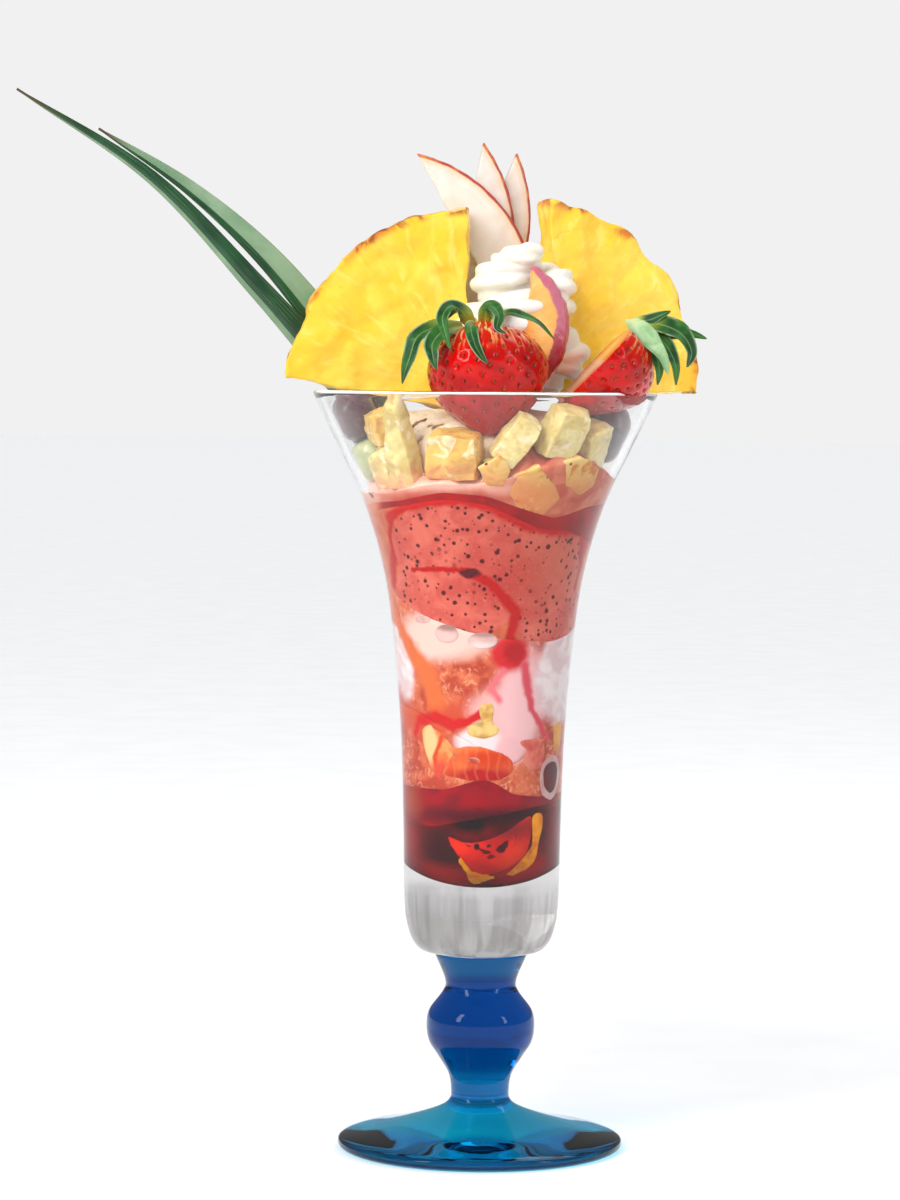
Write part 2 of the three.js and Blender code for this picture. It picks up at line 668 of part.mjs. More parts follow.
grapes.forEach(([name, radii, material, seed, place]) => {
  cutPieces.push(atWall(piece(cutFruit, name, berryGeometry(radii, seed), material), ...place));
});
const flare = layerBound(levels.syrupTop, () => 300, 14).intersect(cavity);

// Toppings
const strawberry = piece(toppings, 'strawberry_whole', strawberryGeometry(1), strawberryRed);
strawberry.position.set(0.2, -25, 203.4);
strawberry.rotation.set(-10 * DEG, -4 * DEG, 0);

const strawberryStar = piece(toppings, 'strawberry_whole_calyx', calyxGeometry({
  leaflets: 7, reach: 17, rise: 4, droop: 8, seed: 5,
}), calyxGreen);
strawberryStar.position.set(-1.2, -22.6, 217.6);
strawberryStar.rotation.set(-10 * DEG, -6 * DEG, 0);

// The half strawberry points its tip down to the left and its cut face up to the left
const halfAxis = new THREE.Vector3(0.68, 0.1, 0.72).normalize();
const cutNormal = new THREE.Vector3(-0.62, -0.3, 0.74);
cutNormal.addScaledVector(halfAxis, -cutNormal.dot(halfAxis)).normalize();
const halfTurn = new THREE.Matrix4().makeBasis(
  new THREE.Vector3().crossVectors(cutNormal, halfAxis), cutNormal, halfAxis,
);
const halfStrawberry = piece(toppings, 'strawberry_half', halfStrawberryGeometry(4), strawberryRed);
halfStrawberry.position.set(28.4, -17.5, 207);
halfStrawberry.setRotationFromMatrix(halfTurn);

const halfStar = piece(toppings, 'strawberry_half_calyx', calyxGeometry({
  leaflets: 6, reach: 12.5, rise: 2, droop: -8, seed: 9,
}), calyxGreen);
halfStar.position.copy(halfStrawberry.position).addScaledVector(halfAxis, 14.8)
  .addScaledVector(cutNormal, -4.5);
halfStar.rotation.set(0, 68 * DEG, 0);

const peach = piece(toppings, 'peach_slice', peachGeometry(40, 13, 11), peachFlesh);
peach.position.set(9, -11.4, 213.8);
peach.rotation.set(-6 * DEG, 2 * DEG, 12 * DEG);

const pineappleLeft = piece(
  toppings, 'pineapple_left', pineappleGeometry([0, -7], 90, 176.5, 1), pineappleFlesh,
);
pineappleLeft.position.set(-4, 10, 200);
const pineappleRight = piece(
  toppings, 'pineapple_right', pineappleGeometry([5.4, -3.5], -4, 83.7, 4), pineappleFlesh,
);
pineappleRight.position.set(9.6, 7.5, 202.4);
pineappleRight.rotation.set(0, 0, 20 * DEG);

// Apple slices fan out behind the cream: tip, lean in the slice's plane and turn about Z
const appleFan = [
  ['apple_slice_1', [-19, 18.6, 263.4], -29, 0],
  ['apple_slice_2', [-1.1, 22.2, 266.8], 11, 4],
  ['apple_slice_3', [8, 26.4, 264.2], 24, 10],
];
const apples = appleFan.map(([name, tip, lean, turn]) => {
  const slice = piece(toppings, name, appleGeometry(), appleSkinned);
  slice.position.set(...tip);
  slice.rotation.set(0, lean * DEG, turn * DEG);
  return slice;
});

const swirl = piece(toppings, 'whipped_cream', creamSwirlGeometry(), whippedCream);
swirl.position.set(8, 2.5, 202.8);

// Two long leaves lean out to the left over the rim
const leafNear = piece(toppings, 'leaf_near', bladeGeometry({
  centre: new THREE.CatmullRomCurve3([
    new THREE.Vector3(-30.5, 20, 184),
    new THREE.Vector3(-34, 20.5, 196),
    new THREE.Vector3(-42, 20.5, 205.5),
    new THREE.Vector3(-61.2, 20, 227.1),
    new THREE.Vector3(-89.6, 18.5, 256.3),
    new THREE.Vector3(-125.7, 16, 279.7),
  ]),
  widthAt: (t) => 0.6 + 8.2 * Math.min(1, 0.3 + 3 * t) * Math.min(1, 1.75 * (1 - t)) ** 0.75,
  sideAt: () => new THREE.Vector3(0.62, -0.25, 0.75),
  fold: 0.28,
  thickness: 1.2,
  steps: 14,
  across: 2,
}), bladeGreen);
const leafFar = piece(toppings, 'leaf_far', bladeGeometry({
  centre: new THREE.CatmullRomCurve3([
    new THREE.Vector3(-26, 24.5, 186),
    new THREE.Vector3(-30, 25, 198),
    new THREE.Vector3(-37, 25.5, 209),
    new THREE.Vector3(-58, 26, 234.6),
    new THREE.Vector3(-80, 25, 254),
    new THREE.Vector3(-104, 21.5, 269.6),
  ]),
  widthAt: (t) => 0.6 + 9.8 * Math.min(1, 0.3 + 3 * t) * Math.min(1, 1.7 * (1 - t)) ** 0.8,
  sideAt: () => new THREE.Vector3(0.6, 0.25, 0.75),
  fold: -0.2,
  thickness: 1.2,
  steps: 12,
  across: 2,
}), bladeGreen);

// Each piece is cut clear of the pieces that lie over it, in the order that they were laid in the glass
fit(strawberryStar, [strawberry]);
fit(halfStrawberry, [strawberry]);
fit(halfStar, [halfStrawberry, strawberry]);
fit(strawberry, [], flare);
fit(halfStrawberry, [], flare);
fit(peach, [strawberry, strawberryStar, halfStrawberry, halfStar], flare);
fit(pineappleLeft, [strawberry, strawberryStar, peach, bowl]);
fit(pineappleRight, [pineappleLeft, halfStrawberry, halfStar, peach, bowl]);
apples.forEach((slice, i) => fit(slice, [pineappleLeft, pineappleRight, ...apples.slice(0, i)]));
fit(leafNear, [pineappleLeft, bowl]);
fit(leafFar, [leafNear, pineappleLeft, ...apples, bowl]);

const laid = [
  strawberry, strawberryStar, halfStrawberry, halfStar, peach, pineappleLeft, pineappleRight,
  ...apples, leafNear, leafFar,
];
cutPieces.forEach((mesh, i) => fit(mesh, [...laid, ...cutPieces.slice(0, i)], flare));
fit(swirl, [...laid, ...cutPieces]);
const bed = piece(filling, 'cream_bed', creamBedGeometry(), whippedCream);
fit(bed, [...laid, ...cutPieces, swirl]);

export default cup;
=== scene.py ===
# %% [markdown]
# # A fruit cup in a tall footed glass
#
# This lesson dresses a measured CAD model of a dessert: a clear glass bowl on a blue stem, filled with
# jelly, cream and ice cream, and topped with fruit. The CAD model gives every place and every size.
# Blender adds what a photograph would show: clear glass, wet fruit, soft cream and light.
#
# First we load the CAD model as a fixed frame.

# %% Load the measured model
import math
import bmesh
import bpy
import numpy as np
from mathutils import Euler, Matrix, Vector, noise


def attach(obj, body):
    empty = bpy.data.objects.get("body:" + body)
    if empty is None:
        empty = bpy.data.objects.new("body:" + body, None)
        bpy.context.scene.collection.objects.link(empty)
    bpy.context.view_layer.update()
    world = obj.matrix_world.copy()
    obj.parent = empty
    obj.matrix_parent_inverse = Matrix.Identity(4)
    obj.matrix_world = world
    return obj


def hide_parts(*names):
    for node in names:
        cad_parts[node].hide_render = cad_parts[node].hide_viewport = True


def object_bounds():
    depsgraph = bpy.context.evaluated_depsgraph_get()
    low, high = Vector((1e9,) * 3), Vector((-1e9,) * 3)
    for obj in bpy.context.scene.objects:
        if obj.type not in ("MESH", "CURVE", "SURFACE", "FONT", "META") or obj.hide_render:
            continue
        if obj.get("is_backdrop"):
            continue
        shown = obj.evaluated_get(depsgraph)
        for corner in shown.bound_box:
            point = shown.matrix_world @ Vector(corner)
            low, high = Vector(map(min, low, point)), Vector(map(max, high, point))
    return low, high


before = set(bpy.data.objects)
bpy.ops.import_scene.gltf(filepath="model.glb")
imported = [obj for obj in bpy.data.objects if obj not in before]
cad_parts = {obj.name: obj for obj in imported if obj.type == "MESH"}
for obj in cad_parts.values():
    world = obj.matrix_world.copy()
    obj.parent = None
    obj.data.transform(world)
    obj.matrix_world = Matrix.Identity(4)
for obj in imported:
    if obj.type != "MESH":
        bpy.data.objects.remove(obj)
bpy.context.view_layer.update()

# %% [markdown]
# Kitchen things are easiest to think of in millimetres, while Blender works in metres. So the lesson
# writes its sizes in millimetres and turns them into metres in one place, the helper that makes a mesh.
# The helper takes rows of points and faces, so each piece can be worked out with plain arithmetic first.

# %% Units and the mesh helpers
MM = 0.001
TAU = 2 * math.pi


def new_object(name, data):
    made = bpy.data.objects.new(name, data)
    bpy.context.scene.collection.objects.link(made)
    return made


def mesh_piece(name, points, faces):
    """A mesh object from points in millimetres and faces as lists of point numbers."""
    mesh = bpy.data.meshes.new(name)
    mesh.from_pydata([(x * MM, y * MM, z * MM) for x, y, z in points], [], [tuple(map(int, f)) for f in faces])
    mesh.validate()
    mesh.update()
    mesh.shade_smooth()
    return new_object(name, mesh)


def band_faces(bands, around, first=0):
    """Faces between rings of points that close on themselves, starting at point number `first`."""
    faces = []
    for j in range(bands):
        a, b = first + j * around, first + (j + 1) * around
        faces += [(a + k, a + (k + 1) % around, b + (k + 1) % around, b + k) for k in range(around)]
    return faces


def face_outwards(piece):
    shaping = bmesh.new()
    shaping.from_mesh(piece.data)
    bmesh.ops.recalc_face_normals(shaping, faces=shaping.faces)
    shaping.to_mesh(piece.data)
    shaping.free()
    return piece


def remeshed(piece, voxel, smoothing=0):
    """Melts a piece into one skin of tiny even faces, smooths it, and keeps the result as its mesh."""
    melt = piece.modifiers.new("melt", "REMESH")
    melt.mode, melt.voxel_size = "VOXEL", voxel * MM
    if smoothing:
        soften = piece.modifiers.new("soften", "SMOOTH")
        soften.factor, soften.iterations = 0.5, smoothing
    graph = bpy.context.evaluated_depsgraph_get()
    mesh = bpy.data.meshes.new_from_object(piece.evaluated_get(graph), depsgraph=graph)
    piece.modifiers.clear()
    piece.data = mesh
    mesh.shade_smooth()
    return piece


def dress(piece, finish, slot, *nodes):
    """Gives a finished piece its material and its body, and hides the CAD nodes it stands for. `slot` is not used.
    """
    piece.data.materials.clear()
    piece.data.materials.append(finish)
    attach(piece, "root")
    if nodes:
        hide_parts(*nodes)
    print(f"{piece.name}: {len(piece.data.vertices)} points, finish {finish.name}")
    return piece


# %% [markdown]
# Many pieces here are turned, as on a lathe or a potter's wheel: the glass, the jelly and the cream.
# A turned piece is a half outline that is carried round the middle line. The first and last points of
# the outline lie on that line, so the piece closes by itself. `wobble` may change each point on its way
# round, which is how a plain ring becomes a wavy layer of jelly.

# %% Turning an outline
def round_point(angle, radius, height):
    """A point round the middle line. Angle 0 is the front and 90 degrees the right."""
    return radius * math.sin(angle), -radius * math.cos(angle), height


def turned_points(outline, turns, wobble=None):
    """Rings of points for an outline of (radius, height), which starts and ends on the axis."""
    points = [(0.0, 0.0, outline[0][1])]
    for radius, height in outline[1:-1]:
        for k in range(turns):
            a = TAU * k / turns
            points.append(round_point(a, *(wobble(a, radius, height) if wobble else (radius, height))))
    points.append((0.0, 0.0, outline[-1][1]))
    last = len(points) - 1
    faces = band_faces(len(outline) - 3, turns, 1)
    for k in range(turns):
        n = (k + 1) % turns
        faces += [(0, 1 + n, 1 + k), (last, last - turns + k, last - turns + n)]
    return points, faces


def smooth_line(knots, per_span):
    """A smooth curve (Catmull-Rom) through the knots, with a given number of steps in each span."""
    p = [np.array(k, float) for k in knots]
    p = [2 * p[0] - p[1]] + p + [2 * p[-1] - p[-2]]
    line = []
    for i in range(1, len(p) - 2):
        for s in range(per_span):
            t = s / per_span
            line.append(0.5 * (2 * p[i] + (p[i + 1] - p[i - 1]) * t
                + (2 * p[i - 1] - 5 * p[i] + 4 * p[i + 1] - p[i + 2]) * t ** 2
                + (3 * p[i] - p[i - 1] - 3 * p[i + 1] + p[i + 2]) * t ** 3))
    line.append(p[-2])
    return line

# %% [markdown]
# ## Finishes
#
# A material in Blender is a small network of nodes that ends in a shader. Most of this dessert is wet
# or soft food, so nearly all of it uses the Principled shader: a base colour that varies, a roughness
# that varies, a little light under the surface, and a bump for the small relief. `new_finish` makes that
# network's end, and sets the numbers that stay the same all over a surface straight on the shader. The
# other helpers make one kind of node each, so that a finish reads like a recipe: tones of two colours,
# coats of paint over them, and the relief.

# %% The material helper
SHORT_NAMES = {"glow": "Subsurface Weight", "reach": "Subsurface Scale", "spread": "Subsurface Radius",
    "shine": "Specular IOR Level", "rough": "Roughness"}


def new_finish(name, **settings):
    """A material with a Principled shader. Returns the material, its node tree and the shader."""
    finish = bpy.data.materials.new(name)
    finish.use_nodes = True
    tree = finish.node_tree
    shader = tree.nodes["Principled BSDF"]
    for socket, value in settings.items():
        shader.inputs[SHORT_NAMES.get(socket, socket.replace("_", " "))].default_value = value
    return finish, tree, shader


def colour(r, g, b):
    """A colour as the eye reads it on a screen, 0 to 255, turned into the linear values of light."""
    return tuple((v / 255 / 12.92 if v / 255 <= 0.04045 else ((v / 255 + 0.055) / 1.055) ** 2.4)
        for v in (r, g, b)) + (1.0,)


def feed(value, node, name="Base Color"):
    """Links another node's output to a socket, or sets the socket's own number or colour."""
    socket = node.inputs[name]
    if isinstance(value, bpy.types.NodeSocket):
        node.id_data.links.new(value, socket)
    else:
        socket.default_value = value


def add_node(tree, kind, **values):
    """A new node with its named inputs fed. An underscore in a name stands for a space."""
    node = tree.nodes.new("ShaderNode" + kind)
    for name, value in values.items():
        feed(value, node, name.replace("_", " "))
    return node


def tree_of(*values):
    """The node tree that the first output among the values belongs to."""
    return next(v.id_data for v in values if isinstance(v, bpy.types.NodeSocket))


def maths(kind, *values, clamp=False):
    """One Math node. A value is a number or another node's output."""
    node = add_node(tree_of(*values), "Math")
    node.operation = kind
    node.use_clamp = clamp
    for number, value in enumerate(values):
        feed(value, node, number)
    return node.outputs[0]


def times(first, second):
    return maths("MULTIPLY", first, second)


def plus(first, second):
    return maths("ADD", first, second)


def vector_maths(kind, *values):
    """One Vector Math node. A value is a point, a number or another node's output."""
    node = add_node(tree_of(*values), "VectorMath")
    node.operation = kind
    for number, value in enumerate(values):
        feed(value, node, "Scale" if kind == "SCALE" and number else number)
    return node.outputs["Value" if kind in ("DOT_PRODUCT", "LENGTH", "DISTANCE") else "Vector"]


def ramp(value, low, high, to_low=0.0, to_high=1.0):
    """Turns a value between low and high into a smooth share between to_low and to_high."""
    node = add_node(value.id_data, "MapRange", Value=value, From_Min=low, From_Max=high, To_Min=to_low,
        To_Max=to_high)
    node.interpolation_type = "SMOOTHSTEP"
    return node.outputs["Result"]


def blend(share, first, second):
    """Mixes two colours by a share from 0 (all first) to 1 (all second). Three numbers are a screen colour."""
    node = add_node(share.id_data, "Mix")
    node.data_type = "RGBA"
    for number, value in ((0, share), (6, first), (7, second)):
        feed(colour(*value) if isinstance(value, tuple) and len(value) == 3 else value, node, number)
    return node.outputs[2]


def tones(value, first, second, low=0.35, high=0.65):
    """Two colours that change over where a noise value goes from low to high."""
    return blend(ramp(value, low, high), first, second)


def paint(base, *coats):
    """Lays coats of colour over a base, each with its own mask."""
    for mask, tint in coats:
        base = blend(mask, base, tint)
    return base


def place(tree):
    """The surface point in the object's own coordinates."""
    found = tree.nodes.get("Where")
    if found is None:
        found = add_node(tree, "TexCoord")
        found.name = "Where"
    return found.outputs["Object"]


def axes(tree, point=None):
    """The X, Y and Z of that point or of another one, each on its own."""
    return add_node(tree, "SeparateXYZ", Vector=point or place(tree)).outputs


def joined_axes(tree, x, y, z=0.0):
    return add_node(tree, "CombineXYZ", X=x, Y=y, Z=z).outputs["Vector"]


def patches(tree, scale, detail=3.0, warp=0.0, where=None):
    """A noise value from 0 to 1 over the object's own coordinates, which are metres here."""
    return add_node(tree, "TexNoise", Scale=scale, Detail=detail, Distortion=warp,
        Vector=where or place(tree)).outputs["Fac"]


def relief(shader, height, strength, distance):
    """Turns a height into small bumps on the shader's surface."""
    bump = add_node(shader.id_data, "Bump", Strength=strength, Distance=distance, Height=height)
    feed(bump.outputs["Normal"], shader, "Normal")


# %% [markdown]
# Cut fruit has something in common, whatever its colour: juice lies on it in a thin uneven film, so
# some spots shine and others don't, and its flesh is a little lighter and darker from place to place.
# Both effects are wanted in many materials. A node group is the right tool for that: it is built once,
# has named inputs and outputs, and each material places it with its own values.
#
# The group `juicy flesh` gives a mottled colour, a wet roughness and a height for the bumps.

# %% Node group: juicy flesh
def start_group(name, inputs, outputs):
    """A node group. An input's value is a colour, a number, or None for a point. Returns the group and its ends."""
    group = bpy.data.node_groups.new(name, "ShaderNodeTree")
    for socket, value in inputs.items():
        kind = "NodeSocketColor" if isinstance(value, tuple) else "NodeSocketFloat" if value else "NodeSocketVector"
        made = group.interface.new_socket(name=socket, in_out="INPUT", socket_type=kind)
        if value:
            made.default_value = value
    for socket, kind in outputs.items():
        group.interface.new_socket(name=socket, in_out="OUTPUT", socket_type=kind)
    return group, group.nodes.new("NodeGroupInput").outputs, group.nodes.new("NodeGroupOutput")


juicy_flesh, given, made = start_group("juicy flesh",
    {"Light Flesh": (0.9, 0.8, 0.5, 1), "Dark Flesh": (0.7, 0.5, 0.2, 1), "Patch Scale": 160.0,
    "Grain Scale": 900.0,
    "Wet Roughness": 0.2, "Dry Roughness": 0.5, "Place": None},
    {"Color": "NodeSocketColor", "Roughness": "NodeSocketFloat", "Height": "NodeSocketFloat"})
patch = patches(juicy_flesh, given["Patch Scale"], 4, 0.6, given["Place"])
grain = patches(juicy_flesh, given["Grain Scale"], 5, 0.2, given["Place"])
share = maths("ADD", ramp(patch, 0.36, 0.66, 0, 0.75), ramp(grain, 0.4, 0.7, 0, 0.25), clamp=True)
feed(blend(share, given["Light Flesh"], given["Dark Flesh"]), made, "Color")
feed(ramp(patch, 0.42, 0.6, given["Wet Roughness"], given["Dry Roughness"]), made, "Roughness")
feed(maths("MULTIPLY_ADD", grain, 0.6, patch), made, "Height")
print("group", juicy_flesh.name, "has inputs", list(given.keys())[:7])


# %% [markdown]
# Ice cream, syrup and berries all carry small dark dots: vanilla or strawberry seeds, or bits of fruit.
# The group `specks` scatters them with a Voronoi texture, which gives the distance to the nearest of
# many random points. Where that distance is small there is a speck. A second, slower noise leaves
# out whole areas, because real specks gather in places.

# %% Node group: specks
specks, given, made = start_group("specks", {"Place": None, "Scale": 500.0, "Size": 0.2, "Share": 0.5},
    {"Mask": "NodeSocketFloat"})
cells = add_node(specks, "TexVoronoi", Vector=given["Place"], Scale=given["Scale"]).outputs
chance = add_node(specks, "SeparateColor", Color=cells["Color"]).outputs
size = times(given["Size"], plus(chance["Green"], 0.35))
dot = ramp(cells["Distance"], size, times(size, 0.55))
feed(times(dot, maths("LESS_THAN", chance["Red"], given["Share"])), made, "Mask")
print("group", specks.name, "ready")


def place_group(tree, group, **values):
    """Puts a node group in a material and sets its named inputs. 'Place' is the object's coordinates."""
    node = tree.nodes.new("ShaderNodeGroup")
    node.node_tree = group
    if "Place" in node.inputs:
        feed(place(tree), node, "Place")
    for name, value in values.items():
        feed(value, node, name.replace("_", " "))
    return node.outputs


# %% [markdown]
# Most of the cut fruit can now share one recipe: `juicy flesh` feeds the shader, light goes a short way
# under the surface, and a clear coat stands for the juice. Only the two colours and the scales differ
# from fruit to fruit, so a short function makes each of them.

# %% A recipe for cut fruit
def cut_fruit(name, light, dark, glow=0.25, patch=150.0, grain=800.0, bump=0.35, coat=0.15, shine=0.35,
        drowned=None):
    """`drowned` holds the two heights between which a chunk sinks into salmon melt."""
    finish, tree, shader = new_finish(name, glow=glow, reach=0.004, Coat_Weight=coat, Coat_Roughness=0.12,
        shine=shine, spread=(1.0, 0.6, 0.3))
    flesh = place_group(tree, juicy_flesh, Light_Flesh=colour(*light), Dark_Flesh=colour(*dark), Patch_Scale=patch,
        Grain_Scale=grain, Wet_Roughness=0.22, Dry_Roughness=0.45)
    tint = flesh["Color"]
    if drowned:
        smear = patches(tree, 170, 5, 1.0)
        under = ramp(maths("MULTIPLY_ADD", smear, 0.016, axes(tree)["Z"]), *drowned)
        tint = paint(tint, (times(under, 0.8), (220, 134, 98)), (ramp(smear, 0.57, 0.66, 0, 0.55), (238, 226, 206)),
            (ramp(smear, 0.4, 0.32, 0, 0.45), (200, 104, 62)))
    feed(tint, shader)
    feed(flesh["Roughness"], shader, "Roughness")
    relief(shader, flesh["Height"], bump, 0.0006)
    return finish


melon_flesh = cut_fruit("melon_flesh", (220, 205, 138), (190, 162, 82), glow=0.45, grain=500, drowned=(0.19, 0.18))
mango_flesh = cut_fruit("mango_flesh", (220, 184, 94), (192, 136, 48), glow=0.35, drowned=(0.191, 0.182))
apple_flesh = cut_fruit("apple_flesh", (228, 214, 154), (196, 170, 92), glow=0.35, drowned=(0.188, 0.178))
peach_chunk_flesh = cut_fruit("peach_chunk_flesh", (240, 185, 125), (222, 140, 85), glow=0.35)
print("fruit finishes ready")

# %% [markdown]
# ## The studio
#
# The photograph was taken from about a metre away with a long lens, slightly above the middle of the
# glass and looking a little down. A long lens keeps the rim almost straight. The camera repeats that
# place, the small tilt of the picture and the framing, which leaves the glass just right of the centre.

# %% Camera
def aim_at(thing, direction, tilt=0.0):
    """Turns a camera or a light so that it looks along a direction, tilted by some degrees."""
    thing.rotation_mode = "QUATERNION"
    thing.rotation_quaternion = (Vector(direction).to_track_quat("-Z", "Y")
        @ Euler((0, 0, math.radians(tilt))).to_quaternion())
    return thing


CAMERA_AWAY, CAMERA_HEIGHT, CAMERA_DOWN = 1.063, 0.200, 2.96
camera_data = bpy.data.cameras.new("camera")
camera_data.sensor_width = 36.0
camera_data.lens = 121.2
aim = Vector((-0.0089, CAMERA_AWAY, -CAMERA_AWAY * math.tan(math.radians(CAMERA_DOWN))))
camera = aim_at(new_object("camera", camera_data), aim, 0.437)
camera.location = (0.0, -CAMERA_AWAY, CAMERA_HEIGHT)
bpy.context.scene.camera = camera
print("camera looks down", round(math.degrees(math.atan2(-aim.z, aim.y)), 2), "degrees")

# %% [markdown]
# The table is a plain pale sheet of rings round the glass, and wide enough to reach the horizon. The
# main light is a sun with a very wide disc, which is soft but evenly bright all over the sheet, and it
# is kept out of mirrors. Three lamps add the highlights that tell the eye "glass" and "wet". The sky has
# two values: the eye sees it pale behind the dessert, while the light that it gives and what glass and
# fruit mirror is dimmer (what is seen through the glass stays pale). Under a sky that is white all
# round, every wet red would be washed out to pink.

# %% Floor, sky and lamps
FLOOR_RINGS, FLOOR_TURNS = [0.0, 60.0, 300.0, 1200.0, 4000.0, 16000.0], 96
floor = mesh_piece("floor", [round_point(TAU * k / FLOOR_TURNS, radius, -0.05) for radius in FLOOR_RINGS
    for k in range(FLOOR_TURNS)], band_faces(len(FLOOR_RINGS) - 1, FLOOR_TURNS))
paper, tree, shader = new_finish("pale_paper", rough=0.8, shine=0.2)
feed(tones(patches(tree, 30, 4), (0.93, 0.93, 0.93, 1), (0.96, 0.96, 0.955, 1), 0.3, 0.7), shader)
floor.data.materials.append(paper)
floor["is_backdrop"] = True

sky = bpy.data.worlds.new("studio")
bpy.context.scene.world = sky
sky.use_nodes = True
height = axes(sky.node_tree, add_node(sky.node_tree, "TexCoord").outputs["Generated"])["Z"]
ray = add_node(sky.node_tree, "LightPath").outputs
seen = tones(height, (0.5, 0.5, 0.51, 1), (0.55, 0.56, 0.58, 1), 0.0, 0.8)
seen = paint(seen, (ray["Is Glossy Ray"], (0.24, 0.24, 0.25, 1)),
    (ray["Is Transmission Ray"], (0.84, 0.84, 0.84, 1)),
    (ray["Is Camera Ray"], (0.88, 0.88, 0.88, 1)))
feed(seen, sky.node_tree.nodes["Background"], "Color")


def lamp(name, size, strength, where, aimed_at, tint=(1.0, 1.0, 1.0)):
    data = bpy.data.lights.new(name, "AREA")
    data.shape = "RECTANGLE"
    data.size, data.size_y = size
    data.energy = strength
    data.color = tint
    aim_at(new_object(name, data), Vector(aimed_at) - Vector(where)).location = where


lamp("lamp_left", (0.22, 0.8), 4.0, (-0.9, -0.75, 0.75), (0, 0, 0.18), (1.0, 0.985, 0.96))
lamp("lamp_right", (0.14, 0.6), 1.6, (0.9, -0.6, 0.5), (0, 0, 0.16), (0.97, 0.985, 1.0))
lamp("lamp_behind", (0.9, 0.5), 2.5, (0.4, 0.5, 1.1), (0, 0, 0.15))
sun_data = bpy.data.lights.new("soft_sun", "SUN")
sun_data.energy = 2.4
sun_data.angle = math.radians(40)
aim_at(new_object("soft_sun", sun_data), (0.42, 0.8, -0.62)).visible_glossy = False
bpy.context.scene.view_settings.view_transform = "Standard"

# %% [markdown]
# ## The glass
#
# The bowl is one thick piece of clear glass: a solid plug at the bottom, straight walls, and a flare
# that opens to a thin rim. The outer line is a smooth curve through measured points. The inner line is
# the outer one less the wall, which thins from 2.8 mm to 1.8 mm, and it ends in a rounded floor.
# Both lines go into one closed outline, so light meets a real outer and a real inner surface.

# %% Outline of the bowl
BOWL_KNOTS = [(12.2, 51.8), (16.6, 53.2), (19.2, 57.8), (20.4, 66), (20.8, 86), (21.6, 110), (23.5, 133),
    (26.2, 152), (31.4, 170), (38.4, 185), (45.1, 199)]
outer_line = smooth_line(BOWL_KNOTS, 12)


def outer_radius(z):
    return float(np.interp(z, [p[1] for p in outer_line], [p[0] for p in outer_line]))


def wall_thickness(z):
    return float(np.interp(z, [110, 200], [2.8, 1.8]))


def inner_radius(z):
    """The radius of the hollow at a height, with its rounded floor at 70 mm."""
    wall = outer_radius(min(z, 199.0)) - wall_thickness(z)
    return wall * math.sqrt(max(0.0, 1 - (1 - (min(z, 82.0) - 70) / 12) ** 2)) if z < 82 else wall


inner_line = [(inner_radius(z), z) for z in np.concatenate([82 - 12 * np.cos(np.linspace(0.06, math.pi / 2, 16)),
    np.linspace(84, 198.4, 60)])]
rim_line = [(45.15, 199.45), (44.85, 199.9), (44.35, 199.98), (43.85, 199.75), (43.4, 199.2)]
bowl_outline = [(0, 51.8), (6, 51.8)] + [tuple(p) for p in outer_line] + rim_line + inner_line[::-1] + [(0, 70.0)]
bowl = mesh_piece("clear_bowl", *turned_points(bowl_outline, 160))
print("bowl wall at the floor of the cup:", round(wall_thickness(90), 2), "mm")

# %% [markdown]
# The stem is a second glass in deep blue: a short neck, a knob, a waist and a shallow foot. It reaches
# a hair's breadth into the bowl's underside, because two pieces of glass that are fused have no air
# between them. If a gap were left there, it would shine like a mirror.

# %% Outline of the stem and foot
STEM_KNOTS = [(36, 0), (37.2, .7), (37.6, 1.8), (37, 2.9), (34, 4), (26, 5.7), (17, 8.3), (10.5, 10.8), (8, 12.9),
    (7.7, 15.5), (8.4, 19.7), (11.2, 24.4), (13.6, 28.2), (14.3, 32.5), (13.6, 36.6), (10, 41.6),
    (9.5, 44.8), (12.2, 51.4)]
stem_line = [(p[0], max(0.0, p[1])) for p in smooth_line(STEM_KNOTS, 8)]
stem_outline = [(0, 0.0), (14, 0.0), (30, 0.0)] + stem_line + [(12.1, 51.88), (6, 51.88), (0, 51.88)]
stem = mesh_piece("blue_stem_foot", *turned_points(stem_outline, 160))
print("stem points:", len(stem.data.vertices))

# %% [markdown]
# Glass bends and reflects light at its surface and colours it on the way through. In Cycles a lamp's
# light doesn't pass a bending surface directly, so food behind glass would sit in the dark. The fix is
# in the material: a ray that only asks whether a lamp is in sight (a shadow ray) meets a transparent
# surface, and every other ray meets the glass. Part of the colour comes from volume absorption. The rest
# is a tint that the surface gives to what passes through, which can change from place to place: navy in
# the thick knob, clearer in its necks, teal in the thin foot, near black in the foot's edge, and upright
# grey streaks in the thick base of the bowl.

# %% Two kinds of glass
def glass_finish(name, tints, absorbed, density, shade, bend):
    finish, tree, shader = new_finish(name, Transmission_Weight=1.0, IOR=bend, rough=0.0)
    relief(shader, patches(tree, 55, 2.0, 0.4), 0.06, 0.0012)
    feed(tints(tree), shader)
    end, either = tree.nodes["Material Output"], add_node(tree, "MixShader")
    feed(add_node(tree, "LightPath").outputs["Is Shadow Ray"], either, "Fac")
    feed(shader.outputs["BSDF"], either, 1)
    feed(add_node(tree, "BsdfTransparent", Color=shade).outputs["BSDF"], either, 2)
    feed(either.outputs["Shader"], end, "Surface")
    feed(add_node(tree, "VolumeAbsorption", Color=absorbed, Density=density).outputs["Volume"], end, "Volume")
    return finish


